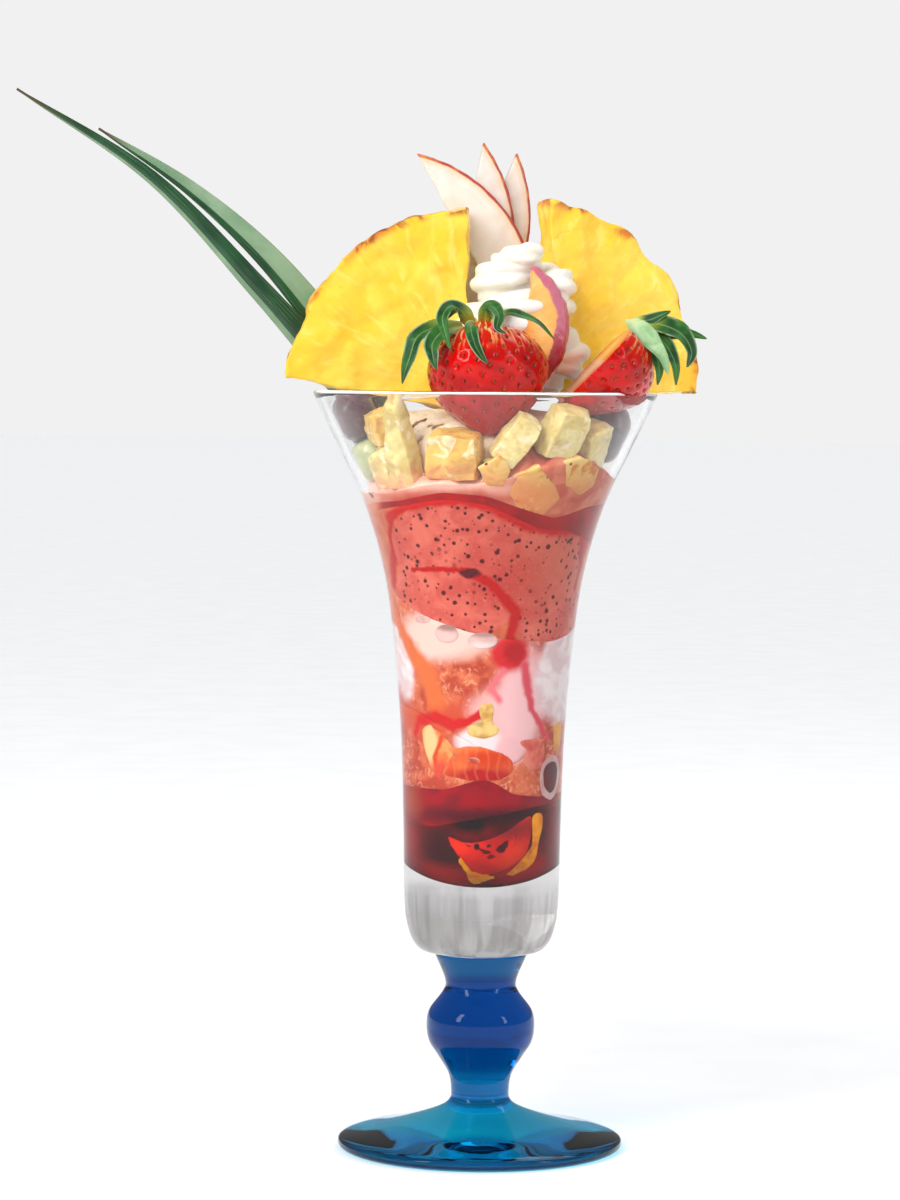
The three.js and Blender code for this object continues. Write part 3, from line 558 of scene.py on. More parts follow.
BASE_TOP, BASE_FADE = 0.0705, 0.0675
KNOB_TOP, KNOB_LOW, FOOT_TOP, EDGE_TOP = (0.045, 0.0485), (0.0235, 0.0195), (0.0135, 0.0105), (0.0042, 0.0036)
FOOT_RADIUS = max(radius for radius, _ in STEM_KNOTS) * MM


def clear_tints(tree):
    """Clear, with upright grey streaks in the thick base. Squeezed heights turn patches into streaks."""
    x, y, z = axes(tree)
    streaks = ramp(patches(tree, 230, 3.0, 0.5, joined_axes(tree, x, y, times(z, 0.06))), 0.38, 0.62)
    greys = blend(streaks, (0.52, 0.5, 0.5, 1), (0.92, 0.91, 0.91, 1))
    return blend(ramp(z, BASE_TOP, BASE_FADE), (1, 1, 1, 1), greys)


def blue_tints(tree):
    """Navy in the knob, clearer in the necks, teal in the foot and dark along the foot's edge."""
    z = axes(tree)["Z"]
    navy, clearer = (0.001, 0.058, 0.26, 1), (0.003, 0.14, 0.36, 1)
    knob = blend(ramp(z, *KNOB_TOP), blend(ramp(z, *KNOB_LOW), navy, clearer), clearer)
    foot = tones(patches(tree, 40, 2.0), (0.012, 0.52, 0.64, 1), (0.01, 0.38, 0.52, 1))
    from_middle = vector_maths("LENGTH", vector_maths("MULTIPLY", place(tree), (1, 1, 0)))
    edge = times(ramp(from_middle, FOOT_RADIUS - 0.0011, FOOT_RADIUS - 0.0005), ramp(z, *EDGE_TOP))
    return paint(knob, (ramp(z, *FOOT_TOP), foot), (edge, (0.003, 0.1, 0.17, 1)))


clear_glass = glass_finish("clear_glass", clear_tints, (0.14, 0.1, 0.09, 1), 12.0, (0.97, 0.97, 0.97, 1), 1.42)
blue_glass = glass_finish("blue_glass", blue_tints, (0.4, 0.82, 0.92, 1), 60.0, (0.72, 0.9, 0.96, 1), 1.32)
dress(bowl, clear_glass, "clear_glass", "glass_bowl")
dress(stem, blue_glass, "blue_glass", "glass_stem_foot")

# %% [markdown]
# ## The fillings
#
# Jelly, melted fruit cream, vanilla and ice cream fill the glass to its wall. If a filling stopped just
# short of the wall, the thin film of air would mirror the light and hide it, so each layer reaches a
# tenth of a millimetre into the glass. Where two layers meet, the line rises and falls round the glass.
# `level` turns a few heights, seen round the glass from the left (-90 degrees) over the front (0) to the
# right (90) and on round the back, into one smooth wavy line.

# %% Wavy levels and a layer between two of them
def level(*seen):
    """Heights at named angles, as a smooth closed line round the glass."""
    angles = np.radians([a for a, _ in seen])
    heights = np.array([h for _, h in seen], float)
    fine = np.linspace(-math.pi, math.pi, 361)
    line = np.interp(fine, np.r_[angles - TAU, angles, angles + TAU], np.tile(heights, 3))
    soft = np.exp(-np.linspace(-2, 2, 17) ** 2)
    line = np.convolve(np.r_[line[-9:-1], line, line[1:9]], soft / soft.sum(), mode="valid")
    return lambda a: float(np.interp((a + math.pi) % TAU - math.pi, fine, line))


LEVELS = {"floor": lambda a: 70.0,
    "dark_jelly": level((-180, 88), (-90, 89.6), (-45, 86.5), (0, 89.5), (45, 92), (90, 93), (135, 90)),
    "red_jelly": level((-180, 98), (-90, 96.5), (-30, 96.5), (0, 99.8), (12, 98.2), (25, 95.5), (50, 94.5),
    (90, 94.8), (135, 97)),
    "melt": level((-180, 114), (-90, 118), (-60, 117), (-30, 113), (0, 107), (25, 103), (45, 108), (70, 115),
    (90, 115), (135, 111)),
    "vanilla": level((-180, 146), (-90, 151), (-60, 145), (-40, 141.6), (-10, 138), (10, 136.4), (50, 135.2),
    (70, 136.5), (90, 139), (135, 142)),
    "scoops": level((-180, 165), (-90, 168), (-45, 170.6), (-20, 172.6), (0, 171.4), (15, 168), (30, 165),
    (50, 164.4),
    (70, 162), (90, 160), (135, 162)),
    "syrup": level((-180, 170), (-90, 170.5), (-45, 172), (-20, 174.4), (0, 173.6), (20, 170), (38, 167.6),
    (60, 170.6), (90, 172), (135, 169)),
    "bed": level((-180, 180), (-90, 174), (-50, 174), (-25, 176.6), (0, 176.5), (20, 180), (45, 183), (70, 179),
    (90, 177), (135, 182)),}
print("jelly is", round(LEVELS["red_jelly"](0) - 70, 1), "mm deep at the front")


FILL_TURNS, TUCK, FLOOR_Z = 180, 0.6, 70


def filling(name, low, high, reach, bands=14, dome=0.0):
    """A layer of filling from one level to the next, pressed into the wall by `reach`."""
    points = []
    rows = [("base", f) for f in (0.35, 0.7, 0.93)] + [("wall", s) for s in np.linspace(0, 1, bands)] \
        + [("cap", f) for f in (0.985, 0.95, 0.85, 0.7, 0.5, 0.25)]
    for kind, share in rows:
        for k in range(FILL_TURNS):
            a = TAU * k / FILL_TURNS
            low_z, high_z = LEVELS[low](a) - (TUCK if low != "floor" else 0), LEVELS[high](a)
            curve = share ** 2 if low == "floor" else share
            z = {"base": low_z, "wall": low_z + (high_z - low_z) * curve, "cap": high_z}[kind]
            r = (inner_radius(z) + reach) * (1 if kind == "wall" else share)
            if kind == "cap":
                z += dome * (1 - share ** 2) - 0.25 * (share < 0.98)
                z += 0.16 * dome * noise.noise(Vector((r * math.sin(a), r * math.cos(a), z)) * 0.2)
            if low == "floor":
                z -= 0.12 * max(0.0, 1 - (z - FLOOR_Z) / 12)
            points.append(round_point(a, r, z))
    count = len(points)
    ends = [tuple(range(FILL_TURNS))[::-1], tuple(range(count - FILL_TURNS, count))]
    return mesh_piece(name, points, band_faces(len(rows) - 1, FILL_TURNS) + ends)


dark_jelly = filling("dark_jelly_layer", "floor", "dark_jelly", 0.16, bands=26)
red_jelly = filling("red_jelly_layer", "dark_jelly", "red_jelly", 0.145)
fruit_melt = filling("fruit_melt_layer", "red_jelly", "melt", 0.13)
vanilla = filling("vanilla_cream_layer", "melt", "vanilla", 0.115, bands=24)
scoops = filling("ice_cream_layer", "vanilla", "scoops", 0.10, bands=28)
syrup = filling("syrup_layer", "scoops", "syrup", 0.085)
cream_bed = filling("cream_bed_layer", "syrup", "bed", 0.07, dome=16.0)

# %% [markdown]
# What shows through the wall is a picture that the cook made by accident: streams of melted cream,
# blobs of syrup, bubbles. To put each of them where the real one has it, we need a way to say "here on
# the wall". The group `round the glass` unrolls the wall like a label: it gives the distance round the
# glass and the height, both in millimetres, and lets them wander a little, so no edge is ever exact.
# Two small groups then draw on that label: `spot` fills an oval and `streak` draws a soft line.

# %% Node groups that draw on the wall
WALL_RADIUS = 23.0      # one turn round the unrolled wall is TAU times this, in millimetres

round_glass, given, made = start_group("round the glass", {"Place": None, "Wander": 1.0, "Wander Scale": 180.0},
    {"Wall Point": "NodeSocketVector"})
x, y, z = axes(round_glass, given["Place"])
drift = add_node(round_glass, "TexNoise", Detail=3.0, Vector=given["Place"], Scale=given["Wander Scale"])
drift = add_node(round_glass, "SeparateColor", Color=drift.outputs["Color"]).outputs


def wandering(value, part):
    return plus(value, times(maths("SUBTRACT", drift[part], 0.5), given["Wander"]))


across = times(maths("ARCTAN2", x, times(y, -1.0)), WALL_RADIUS)
feed(joined_axes(round_glass, wandering(across, "Red"), wandering(times(z, 1000.0), "Green")), made, "Wall Point")

spot, given, made = start_group("spot", {"Wall Point": None, "Centre": None, "Half Size": None, "Softness": 0.15},
    {"Mask": "NodeSocketFloat", "Distance": "NodeSocketFloat"})
away = vector_maths("SUBTRACT", given["Wall Point"], given["Centre"])
away = vector_maths("LENGTH", vector_maths("DIVIDE", away, given["Half Size"]))
feed(ramp(away, plus(given["Softness"], 1.0), maths("SUBTRACT", 1.0, given["Softness"])), made, "Mask")
feed(away, made, "Distance")

streak, given, made = start_group("streak",
    {"Wall Point": None, "From": None, "To": None, "Width": 1.0, "Softness": 0.5}, {"Mask": "NodeSocketFloat"})
point = vector_maths("SUBTRACT", given["Wall Point"], given["From"])
line = vector_maths("SUBTRACT", given["To"], given["From"])
along = maths("DIVIDE", vector_maths("DOT_PRODUCT", point, line), vector_maths("DOT_PRODUCT", line, line),
    clamp=True)
away = vector_maths("DISTANCE", point, vector_maths("SCALE", line, along))
soft = times(given["Width"], given["Softness"])
feed(ramp(away, plus(given["Width"], soft), maths("SUBTRACT", given["Width"], soft)), made, "Mask")
print("wall groups:", round_glass.name, spot.name, streak.name)


# %% Short ways to place the wall groups
def wall_point(tree, wander=1.0, scale=180.0):
    return place_group(tree, round_glass, Wander=wander, Wander_Scale=scale)["Wall Point"]


def draw_spot(point, centre, half, softness=0.2, output="Mask"):
    return place_group(point.id_data, spot, Wall_Point=point, Centre=(*centre, 0), Half_Size=(*half, 1),
        Softness=softness)[output]


def ovals(point, *rows):
    """Coats for `paint`: centre, half size, softness, colour and, where it isn't 1, the strength of each oval."""
    coats = []
    for centre, half, softness, tint, *strength in rows:
        mask = draw_spot(point, centre, half, softness)
        coats.append((times(mask, strength[0]) if strength else mask, tint))
    return coats


def draw_streaks(point, line, width, softness=0.5):
    """A soft line through several wall points. `width` is one number, or one for each stretch."""
    whole = None
    widths = width if isinstance(width, list) else [width] * (len(line) - 1)
    for start, end, w in zip(line, line[1:], widths):
        mask = place_group(point.id_data, streak, Wall_Point=point, From=(*start, 0), To=(*end, 0), Width=w,
            Softness=softness)["Mask"]
        whole = mask if whole is None else maths("MAXIMUM", whole, mask)
    return whole


# %% [markdown]
# The jelly at the bottom is a very dark red. Its finish paints shade as near-black ovals along its top,
# and paints the light that shines through it as brighter red ovals low down and at the sides. It is
# firm and smooth, so it gets a gloss and hardly any bump. The red jelly above it is a fresher red, and
# clouds of cream sink into it. A dark band of painted shade along its bottom carries on the shade below.

# %% Jelly finishes
dark_jelly_finish, tree, shader = new_finish("dark_jelly", rough=0.3, shine=0.0)
point = wall_point(tree, 2.4, 120)
depth_noise = patches(tree, 90, 3, 0.5)
# painted shade: the near-black ovals along the top; painted light: the bright red ovals low down and at the sides
feed(paint(tones(depth_noise, (108, 0, 8), (62, 0, 4)),
    *ovals(point, ((-13, 80), (7, 6), 0.8, (48, 0, 6)), ((2, 90.5), (22, 2.6), 0.6, (34, 0, 6)),
    ((-4, 88), (6, 2.2), 0.5, (14, 0, 3)), ((17, 75.5), (15, 3.4), 0.7, (166, 6, 14)),
    ((-18, 73.5), (14, 3.0), 0.8, (168, 4, 12)), ((-34, 80), (8, 9), 0.8, (136, 2, 12)),
    ((29, 84), (4, 9), 0.8, (120, 2, 22)))), shader)
relief(shader, depth_noise, 0.08, 0.0006)

red_jelly_finish, tree, shader = new_finish("red_jelly", rough=0.3, shine=0.0)
point = wall_point(tree, 2.4, 140)
cloud = patches(tree, 130, 4, 0.8)
# painted shade: the dark band along the bottom of the red jelly
feed(paint(tones(cloud, (148, 0, 18), (114, 0, 20), 0.35, 0.7),
    *ovals(point, ((2, 89.8), (26, 2.2), 0.7, (70, 0, 14)), ((-28, 93), (5, 4), 0.8, (150, 50, 30)),
    ((24, 93.5), (8, 1.6), 0.8, (130, 30, 40)))), shader)
relief(shader, cloud, 0.1, 0.0006)
dress(dark_jelly, dark_jelly_finish, "dark_jelly", "dark_jelly")
dress(red_jelly, red_jelly_finish, "red_jelly", "red_jelly")

# %% [markdown]
# Between the jelly and the ice cream, everything has begun to melt and run together: white vanilla,
# an orange stream that comes down from the left, and a blob of syrup with a thin rivulet under it.
# One finish serves both layers, because the streams cross from one to the other. The coats of colour
# are laid one over the other like paint, and each mask is a spot or a streak on the unrolled wall.

# %% Melted cream finish
melted_cream, tree, shader = new_finish("melted_cream", shine=0.05, glow=0.35, reach=0.003, spread=(1.0, 0.5, 0.35))
point = wall_point(tree, 4.0, 150)
fine_point = wall_point(tree, 1.6, 320)
cloud = patches(tree, 140, 4, 1.2)
mottled = patches(tree, 420, 5, 1.4)
salmon = tones(cloud, (200, 106, 70), (170, 62, 38), 0.38, 0.62)
salmon = paint(salmon, (ramp(mottled, 0.52, 0.68, 0, 0.6), (178, 52, 44)),
    (ramp(mottled, 0.46, 0.34, 0, 0.5), (228, 168, 132)))
milk = tones(cloud, (228, 218, 218), (212, 188, 190), 0.38, 0.62)
feed(paint(salmon, *ovals(point, ((-12, 137), (15, 6.5), 0.35, (226, 190, 178)),
    ((4, 114), (9, 9), 0.35, (222, 172, 168)), ((12, 120), (8, 14), 0.35, (224, 180, 182)),
    ((-33.5, 128.5), (11, 11), 0.16, milk), ((29, 126.5), (13, 13.5), 0.14, milk),
    ((80, 126), (18, 12), 0.3, milk), ((-74, 130), (14, 9), 0.3, milk)),
    (draw_streaks(point, [(-34, 147), (-28, 137), (-22, 131.5), (-16.5, 125.5), (-14, 117)],
    [2.0, 2.4, 3.0, 3.4], 0.5), (206, 104, 52)),
    (draw_streaks(point, [(-40, 121), (-30, 116), (-16, 112), (-8, 116)], [3.5, 4.0, 3.5], 0.7), (190, 74, 44)),
    *ovals(fine_point, ((-1.5, 109), (7, 3.6), 0.3, (226, 206, 206)),
    ((8.6, 107), (4.4, 3.4), 0.35, (218, 172, 176))),
    (draw_streaks(fine_point, [(-24, 111), (-21.4, 114.4), (-15, 115.4), (-9, 113.6), (-4.4, 114.6), (-1, 116.4)],
    [1.0, 1.5, 1.4, 1.2, 1.2, 0.8], 0.5), (190, 18, 18)),
    *ovals(fine_point, ((7.5, 132.4), (5.4, 4.6), 0.3, (196, 24, 34)), ((8.6, 133), (3.0, 3.0), 0.4, (168, 4, 12))),
    (draw_streaks(fine_point, [(6, 128), (2, 123.6), (5, 120)], 0.9, 0.9), (214, 110, 120)),
    (draw_streaks(fine_point, [(12.2, 129), (14, 122), (15.2, 118), (19, 113.6), (22.6, 109.6)],
    [1.4, 1.2, 1.0, 1.0], 0.6), (200, 70, 84))), shader)
feed(ramp(cloud, 0.3, 0.7, 0.22, 0.45), shader, "Roughness")
relief(shader, cloud, 0.12, 0.0008)
dress(fruit_melt, melted_cream, "fruit_melt", "fruit_melt")
dress(vanilla, melted_cream, "vanilla_cream", "vanilla_cream")

# %% [markdown]
# Two scoops of strawberry ice cream are pressed against the wall, the upper one above and to the right
# of the lower one. Syrup has run down between them and round them, and melted cream fills the rest.
# The finish starts with that melted cream, lays on the two scoops as ovals, draws the red lines where
# the ovals end, and scatters dark specks of fruit, which gather in places.

# %% Ice cream finish
strawberry_ice, tree, shader = new_finish("strawberry_ice", shine=0.05, glow=0.3, reach=0.0025,
    spread=(1.0, 0.4, 0.3))
point = wall_point(tree, 3.4, 130)
fine_point = wall_point(tree, 1.4, 420)
cloud = patches(tree, 160, 5, 0.8)
crystals = patches(tree, 1500, 4, 0.2)
ice = tones(cloud, (208, 106, 90), (190, 80, 68), 0.34, 0.64)
melted = tones(cloud, (200, 112, 76), (184, 84, 52))
upper = draw_spot(point, (2, 158), (27, 15.5), 0.05, "Distance")
lower = draw_spot(point, (-10.5, 145.4), (19.5, 9.4), 0.05, "Distance")
in_scoop = maths("MAXIMUM", maths("MAXIMUM", ramp(upper, 1.03, 0.97), ramp(lower, 1.04, 0.96)),
    draw_spot(point, (24, 141), (16, 9), 0.12))
syrup_lines = maths("MAXIMUM",
    draw_streaks(fine_point, [(-22, 168), (-24.6, 163), (-25.6, 157), (-28.4, 150)], [0.8, 0.9, 1.5], 0.6),
    maths("MAXIMUM",
    draw_streaks(fine_point, [(-19, 154), (-11, 154.3), (-5, 154), (1.5, 151), (5, 147), (8.6, 143), (7.4, 137),
    (7.6, 132)], [0.6, 0.7, 1.2, 1.2, 1.4, 1.5, 1.6], 0.5),
    draw_streaks(fine_point, [(27, 162), (30, 155), (29.4, 149)], [1.5, 0.9], 0.7)))
red_top = draw_streaks(fine_point, [(-23, 167.5), (-17, 170.4), (-11, 172), (-4, 172.6), (3, 170.4), (9, 166.6),
    (16, 165.4), (26, 165.2), (31, 160)], [1.2, 1.3, 1.5, 1.5, 2.0, 2.2, 2.4, 2.2], 0.45)
dots = maths("MAXIMUM", place_group(tree, specks, Scale=600.0, Size=0.37, Share=0.75)["Mask"],
    place_group(tree, specks, Scale=390.0, Size=0.28, Share=0.4)["Mask"])
dots = times(times(dots, in_scoop), ramp(patches(tree, 70, 2), 0.36, 0.44))
feed(paint(melted, (in_scoop, ice),
    *ovals(point, ((20, 156), (12, 9), 0.8, (202, 104, 82), 0.75), ((5, 152), (9, 8), 0.9, (176, 52, 44), 0.7)),
    (times(in_scoop, ramp(crystals, 0.56, 0.75, 0, 0.35)), (222, 140, 122)),
    (dots, (74, 6, 10)), (syrup_lines, (176, 6, 6)),
    *ovals(fine_point, ((-3.4, 153.4), (2.6, 1.2), 0.3, (84, 0, 14))), (red_top, (182, 12, 10)),
    (draw_streaks(point, [(33.5, 166), (34.5, 158), (36, 150)], 2.0, 0.8), (206, 110, 50))), shader)
feed(ramp(cloud, 0.3, 0.7, 0.3, 0.55), shader, "Roughness")
relief(shader, plus(crystals, cloud), 0.3, 0.0005)
dress(scoops, strawberry_ice, "strawberry_ice", "ice_cream_lower", "ice_cream_upper")

# %% [markdown]
# Thin syrup lies on the ice cream and pools at the right, and the cream bed above it has taken up some
# of its colour. The bed is a soft mound, so its top rises towards the middle, under the fruit.

# %% Syrup and cream bed
red_syrup, tree, shader = new_finish("red_syrup", shine=0.1, glow=0.15, reach=0.002)
point = wall_point(tree, 3.0, 160)
cloud = patches(tree, 150, 3, 0.8)
feed(paint(tones(cloud, (166, 8, 8), (136, 0, 6), 0.35, 0.7),
    *ovals(point, ((-34, 172), (8, 6), 0.4, (214, 132, 100)), ((38, 169), (6, 8), 0.5, (190, 70, 40)),
    ((80, 168), (28, 8), 0.4, (204, 112, 84), 0.8), ((-74, 168), (22, 8), 0.4, (204, 112, 84), 0.8))), shader)
feed(ramp(cloud, 0.3, 0.7, 0.08, 0.22), shader, "Roughness")
relief(shader, cloud, 0.15, 0.0008)
dress(syrup, red_syrup, "red_syrup", "red_syrup")

pink_cream, tree, shader = new_finish("pink_cream", shine=0.2, glow=0.4, reach=0.004, spread=(1.0, 0.6, 0.45))
point = wall_point(tree, 4.0, 150)
cloud = patches(tree, 170, 5, 0.9)
feed(paint(tones(cloud, (212, 128, 98), (190, 84, 60), 0.34, 0.66),
    *ovals(point, ((-8, 176), (14, 2.2), 0.8, (230, 176, 158)), ((-30, 175), (10, 4), 0.5, (226, 178, 160)),
    ((-6, 173), (16, 1.6), 0.9, (176, 40, 34), 0.6))), shader)
feed(ramp(cloud, 0.3, 0.7, 0.25, 0.5), shader, "Roughness")
relief(shader, cloud, 0.3, 0.001)
dress(cream_bed, pink_cream, "whipped_cream", "cream_bed")

# %% [markdown]
# ## Cut fruit
#
# The CAD chunks have the right place and size, but knife-cut fruit isn't a crisp box: its edges are
# soft, its faces bow a little, and juice and fibres leave small dents. We copy each CAD solid, remesh
# the copy into tiny even faces, smooth it, and push its points in and out with noise. The remeshing is
# what a sculptor does before carving: it gives clay that is equally fine everywhere.

# %% Soften a copy of a CAD solid
def softened(node, name, voxel, smoothing, dents=(), inward=0.0, matrix=None):
    """A finely meshed, smoothed copy. `dents` holds pairs of (depth in mm, size in mm)."""
    copy = remeshed(new_object(name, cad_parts[node].data.copy()), voxel, smoothing)
    carved = copy.data
    carved.name = name
    points, normals = np.empty((2, len(carved.vertices) * 3))
    carved.vertices.foreach_get("co", points)
    carved.vertices.foreach_get("normal", normals)
    points, normals = points.reshape(-1, 3), normals.reshape(-1, 3)
    for depth, size in dents:
        wave = np.array([noise.noise(Vector(p) / (size * MM)) for p in points])
        points += normals * ((wave - inward) * depth * MM)[:, None]
    carved.vertices.foreach_set("co", points.ravel())
    if matrix is not None:
        carved.transform(matrix.inverted())
        copy.matrix_world = matrix
    carved.shade_smooth()
    carved.update()
    return copy


CUT_FRUIT = {"melon_flesh": (melon_flesh, ["melon_wedge", "melon_chunk", "melon_chunk_right", "melon_chunk_back"]),
    "mango_flesh": (mango_flesh, ["mango_chunk_left", "mango_chunk_front", "mango_chunk_right", "mango_chunk_back",
    "pineapple_chunk_low"]),
    "apple_flesh": (apple_flesh, ["apple_stick_slant", "apple_chunk_low", "apple_stick_upright",
    "apple_stick_back"]),
    "peach_flesh": (peach_chunk_flesh, ["peach_chunk_iced"]),}
for slot_name, (finish, nodes) in CUT_FRUIT.items():
    for node in nodes:
        dress(softened(node, node + "_cut", 0.5, 5, [(0.7, 6.0), (0.25, 1.8)], 0.3), finish, slot_name, node)
dress(softened("pineapple_chunk_back", "pineapple_chunk_back_cut", 0.5, 5, [(0.7, 6.0), (0.3, 1.5)], 0.3),
    mango_flesh, "pineapple_flesh", "pineapple_chunk_back")

# %% [markdown]
# Grapes have a tight skin with a bloom: a thin pale dust that is rubbed off in places. The dark ones
# are nearly black where they face away from the light. Smoothing turns the CAD solid into a clean
# rounded form, and the finish lays the bloom over a deep colour and leaves a gloss under it.

# %% Grapes
def grape_skin(name, deep, fresh, bloom, glow, shine=0.5):
    finish, tree, shader = new_finish(name, glow=glow, reach=0.004, shine=shine, spread=(1.0, 0.6, 0.4))
    body, dust = patches(tree, 120, 3, 0.4), patches(tree, 260, 5, 1.0)
    base = tones(body, deep, fresh)
    feed(blend(ramp(dust, 0.55, 0.8, 0, 0.45), base, bloom), shader)
    feed(ramp(dust, 0.45, 0.75, 0.12, 0.5), shader, "Roughness")
    relief(shader, dust, 0.08, 0.0004)
    return finish


grape_dark = grape_skin("grape_dark", (52, 18, 30), (88, 34, 38), (130, 92, 112), 0.1)
grape_green = grape_skin("grape_green", (150, 160, 110), (182, 182, 128), (206, 208, 182), 0.35)
for node in ("grape_dark_right", "grape_dark_left", "grape_dark_back"):
    dress(softened(node, node + "_whole", 0.6, 14), grape_dark, "grape_dark", node)
dress(softened("grape_green_left", "grape_green_left_whole", 0.6, 14), grape_green, "grape_green",
    "grape_green_left")

# %% [markdown]
# Lower down, pieces of fruit are caught between the jelly and the cream and pressed flat on the wall,
# where only their outlines show. Such a piece is drawn as a closed outline on the unrolled wall and
# filled with rings that run to its centre. Its face follows the glass, and its edge rolls inwards, so
# the cream seems to close over it.

# %% Fruit pressed on the wall
ROLLED_EDGE = [(0.35, 0.0), (0.6, 0.0), (0.78, 0.0), (0.88, 0.02), (0.95, 0.12), (0.99, 0.35), (1.0, 0.6),
    (0.96, 1.0)]


def pressed(name, centre, outline, reach=0.22, thick=3.0, steps=8, uneven=0.3):
    """A piece on the wall. Centre and outline are (distance round, height) on the wall, in millimetres."""
    line = smooth_line([outline[-1]] + outline + outline[:2], steps)[steps:steps + len(outline) * steps]
    count = len(line)

    def wall_place(across, height, depth):
        low = max(0.0, 1 - (height - FLOOR_Z) / 12) * (reach - depth)
        x, y, z = round_point(across / WALL_RADIUS, inner_radius(height) + reach - depth, height)
        return (x, y, z - low)

    points = [wall_place(*centre, 0.0)]
    for share, roll in ROLLED_EDGE:
        for p in line:
            q = np.array(centre) + (p - np.array(centre)) * share
            n = noise.noise(Vector((q[0] * 0.6, q[1] * 0.6, 3.0))) * uneven * share
            points.append(wall_place(q[0] + n, max(70.3, q[1] + n), roll * thick))
    points.append(wall_place(*centre, thick))
    last = len(points) - 1
    faces = [face[::-1] for face in band_faces(len(ROLLED_EDGE) - 1, count, 1)]
    for k in range(count):
        n = (k + 1) % count
        faces += [(0, 1 + k, 1 + n), (last, last - count + n, last - count + k)]
    return face_outwards(mesh_piece(name, points, faces))


citrus_front = pressed("citrus_piece_pressed", (-6, 105), [
    (-21, 109), (-18.5, 111.8), (-16, 108.5), (-9, 107.8), (-3, 108.6), (5, 107.2), (10.8, 104.6), (11.4, 101),
    (6, 98.6), (-2, 98.4), (-8, 99), (-14, 100.2), (-18.6, 104)])
citrus_lobe = pressed("citrus_lobe_pressed", (-15.5, 105.8), [
    (-21.1, 112.4), (-18, 114), (-15.4, 113), (-10.0, 109.4), (-8.4, 106.4), (-11, 102.4), (-14.2, 98.6),
    (-17.6, 102.0), (-20.5, 107.5)],
    reach=0.26)
berry_front = pressed("berry_piece_pressed", (16.6, 105.6), [
    (11.4, 109.6), (16, 110.4), (21, 109.8), (22.6, 106), (21.4, 102.4), (17, 101), (12.6, 103.6), (14, 106.6)])
grape_front = pressed("grape_piece_pressed", (25.4, 99.4), [
    (21.6, 102.4), (25, 104), (29, 103.6), (31, 100.6), (29.6, 96.4), (26, 94.4), (22.6, 95.8), (21.0, 99)])
mango_front = pressed("mango_piece_pressed", (28.2, 109.6), [
    (25.8, 113.4), (31.6, 113.6), (32.2, 108.6), (31.2, 106), (27, 105.8), (26.2, 109.4)])
apple_front = pressed("apple_piece_pressed", (0.2, 115.4), [
    (-1.2, 118.4), (1.8, 120), (3.6, 118.6), (3.2, 114.2), (5.6, 112.6), (4.2, 110.4), (-0.6, 109.6), (-4.4, 110.6),
    (-5.4, 112.8), (-2.4, 113.4), (0.2, 113)])
citrus_back = pressed("citrus_piece_back_pressed", (66, 107), [
    (58, 111.6), (66, 113.6), (74, 112), (76.6, 107), (74, 101.8), (66, 100.2), (58.4, 102), (56, 106.6)])
mango_back = pressed("mango_piece_back_pressed", (-51, 109), [
    (-56, 112), (-51, 114), (-46.4, 112), (-45.6, 107.6), (-48, 104), (-54, 104.4), (-56.4, 108)])

# %% [markdown]
# The pressed pieces need their own looks. The citrus piece is orange and redder below, where it stands
# in the jelly, with fine lines where its small juice sacs run. The dark grape half shows a ring of cream
# round it, which is a slightly larger pressed disc behind it. Pink berry, yellow mango and pale apple
# complete the row.

# %% Finishes of the pressed pieces
citrus_glow, tree, shader = new_finish("citrus_glow", rough=0.3, shine=0.05, glow=0.4, reach=0.003,
    spread=(1.0, 0.4, 0.15))
point = wall_point(tree, 2.2, 200)
cloud = patches(tree, 130, 4, 0.6)
sacs = add_node(tree, "TexWave", Scale=110, Distortion=6.0, Detail=3.0, Vector=place(tree)).outputs["Fac"]
feed(paint(tones(cloud, (230, 124, 64), (212, 82, 34)),
    *ovals(point, ((-15.5, 106), (4.2, 6.5), 0.35, (222, 146, 92)), ((2, 105), (9, 2.6), 0.6, (196, 56, 6)),
    ((0, 100.4), (11, 2.4), 0.6, (168, 10, 16)), ((-17, 111.6), (5, 2), 0.5, (176, 30, 16))),
    (ramp(sacs, 0.75, 1.0, 0, 0.15), (226, 150, 96))), shader)
relief(shader, sacs, 0.2, 0.0006)

berry_glow = cut_fruit("berry_glow", (214, 122, 104), (186, 60, 50), glow=0.4, patch=220, grain=700, bump=0.2,
    coat=0.0, shine=0.05)
mango_glow = cut_fruit("mango_glow", (222, 160, 50), (200, 120, 50), glow=0.3, patch=200, bump=0.2, coat=0.0,
    shine=0.05)
apple_glow = cut_fruit("apple_glow", (222, 190, 120), (186, 140, 60), glow=0.3, patch=260, bump=0.2, coat=0.0,
    shine=0.05)
grape_glow = grape_skin("grape_glow", (70, 8, 12), (104, 16, 18), (120, 40, 40), 0.1, 0.05)
white_ring = cut_fruit("white_ring", (208, 172, 170), (186, 138, 138), glow=0.35, bump=0.2, coat=0.0, shine=0.05)

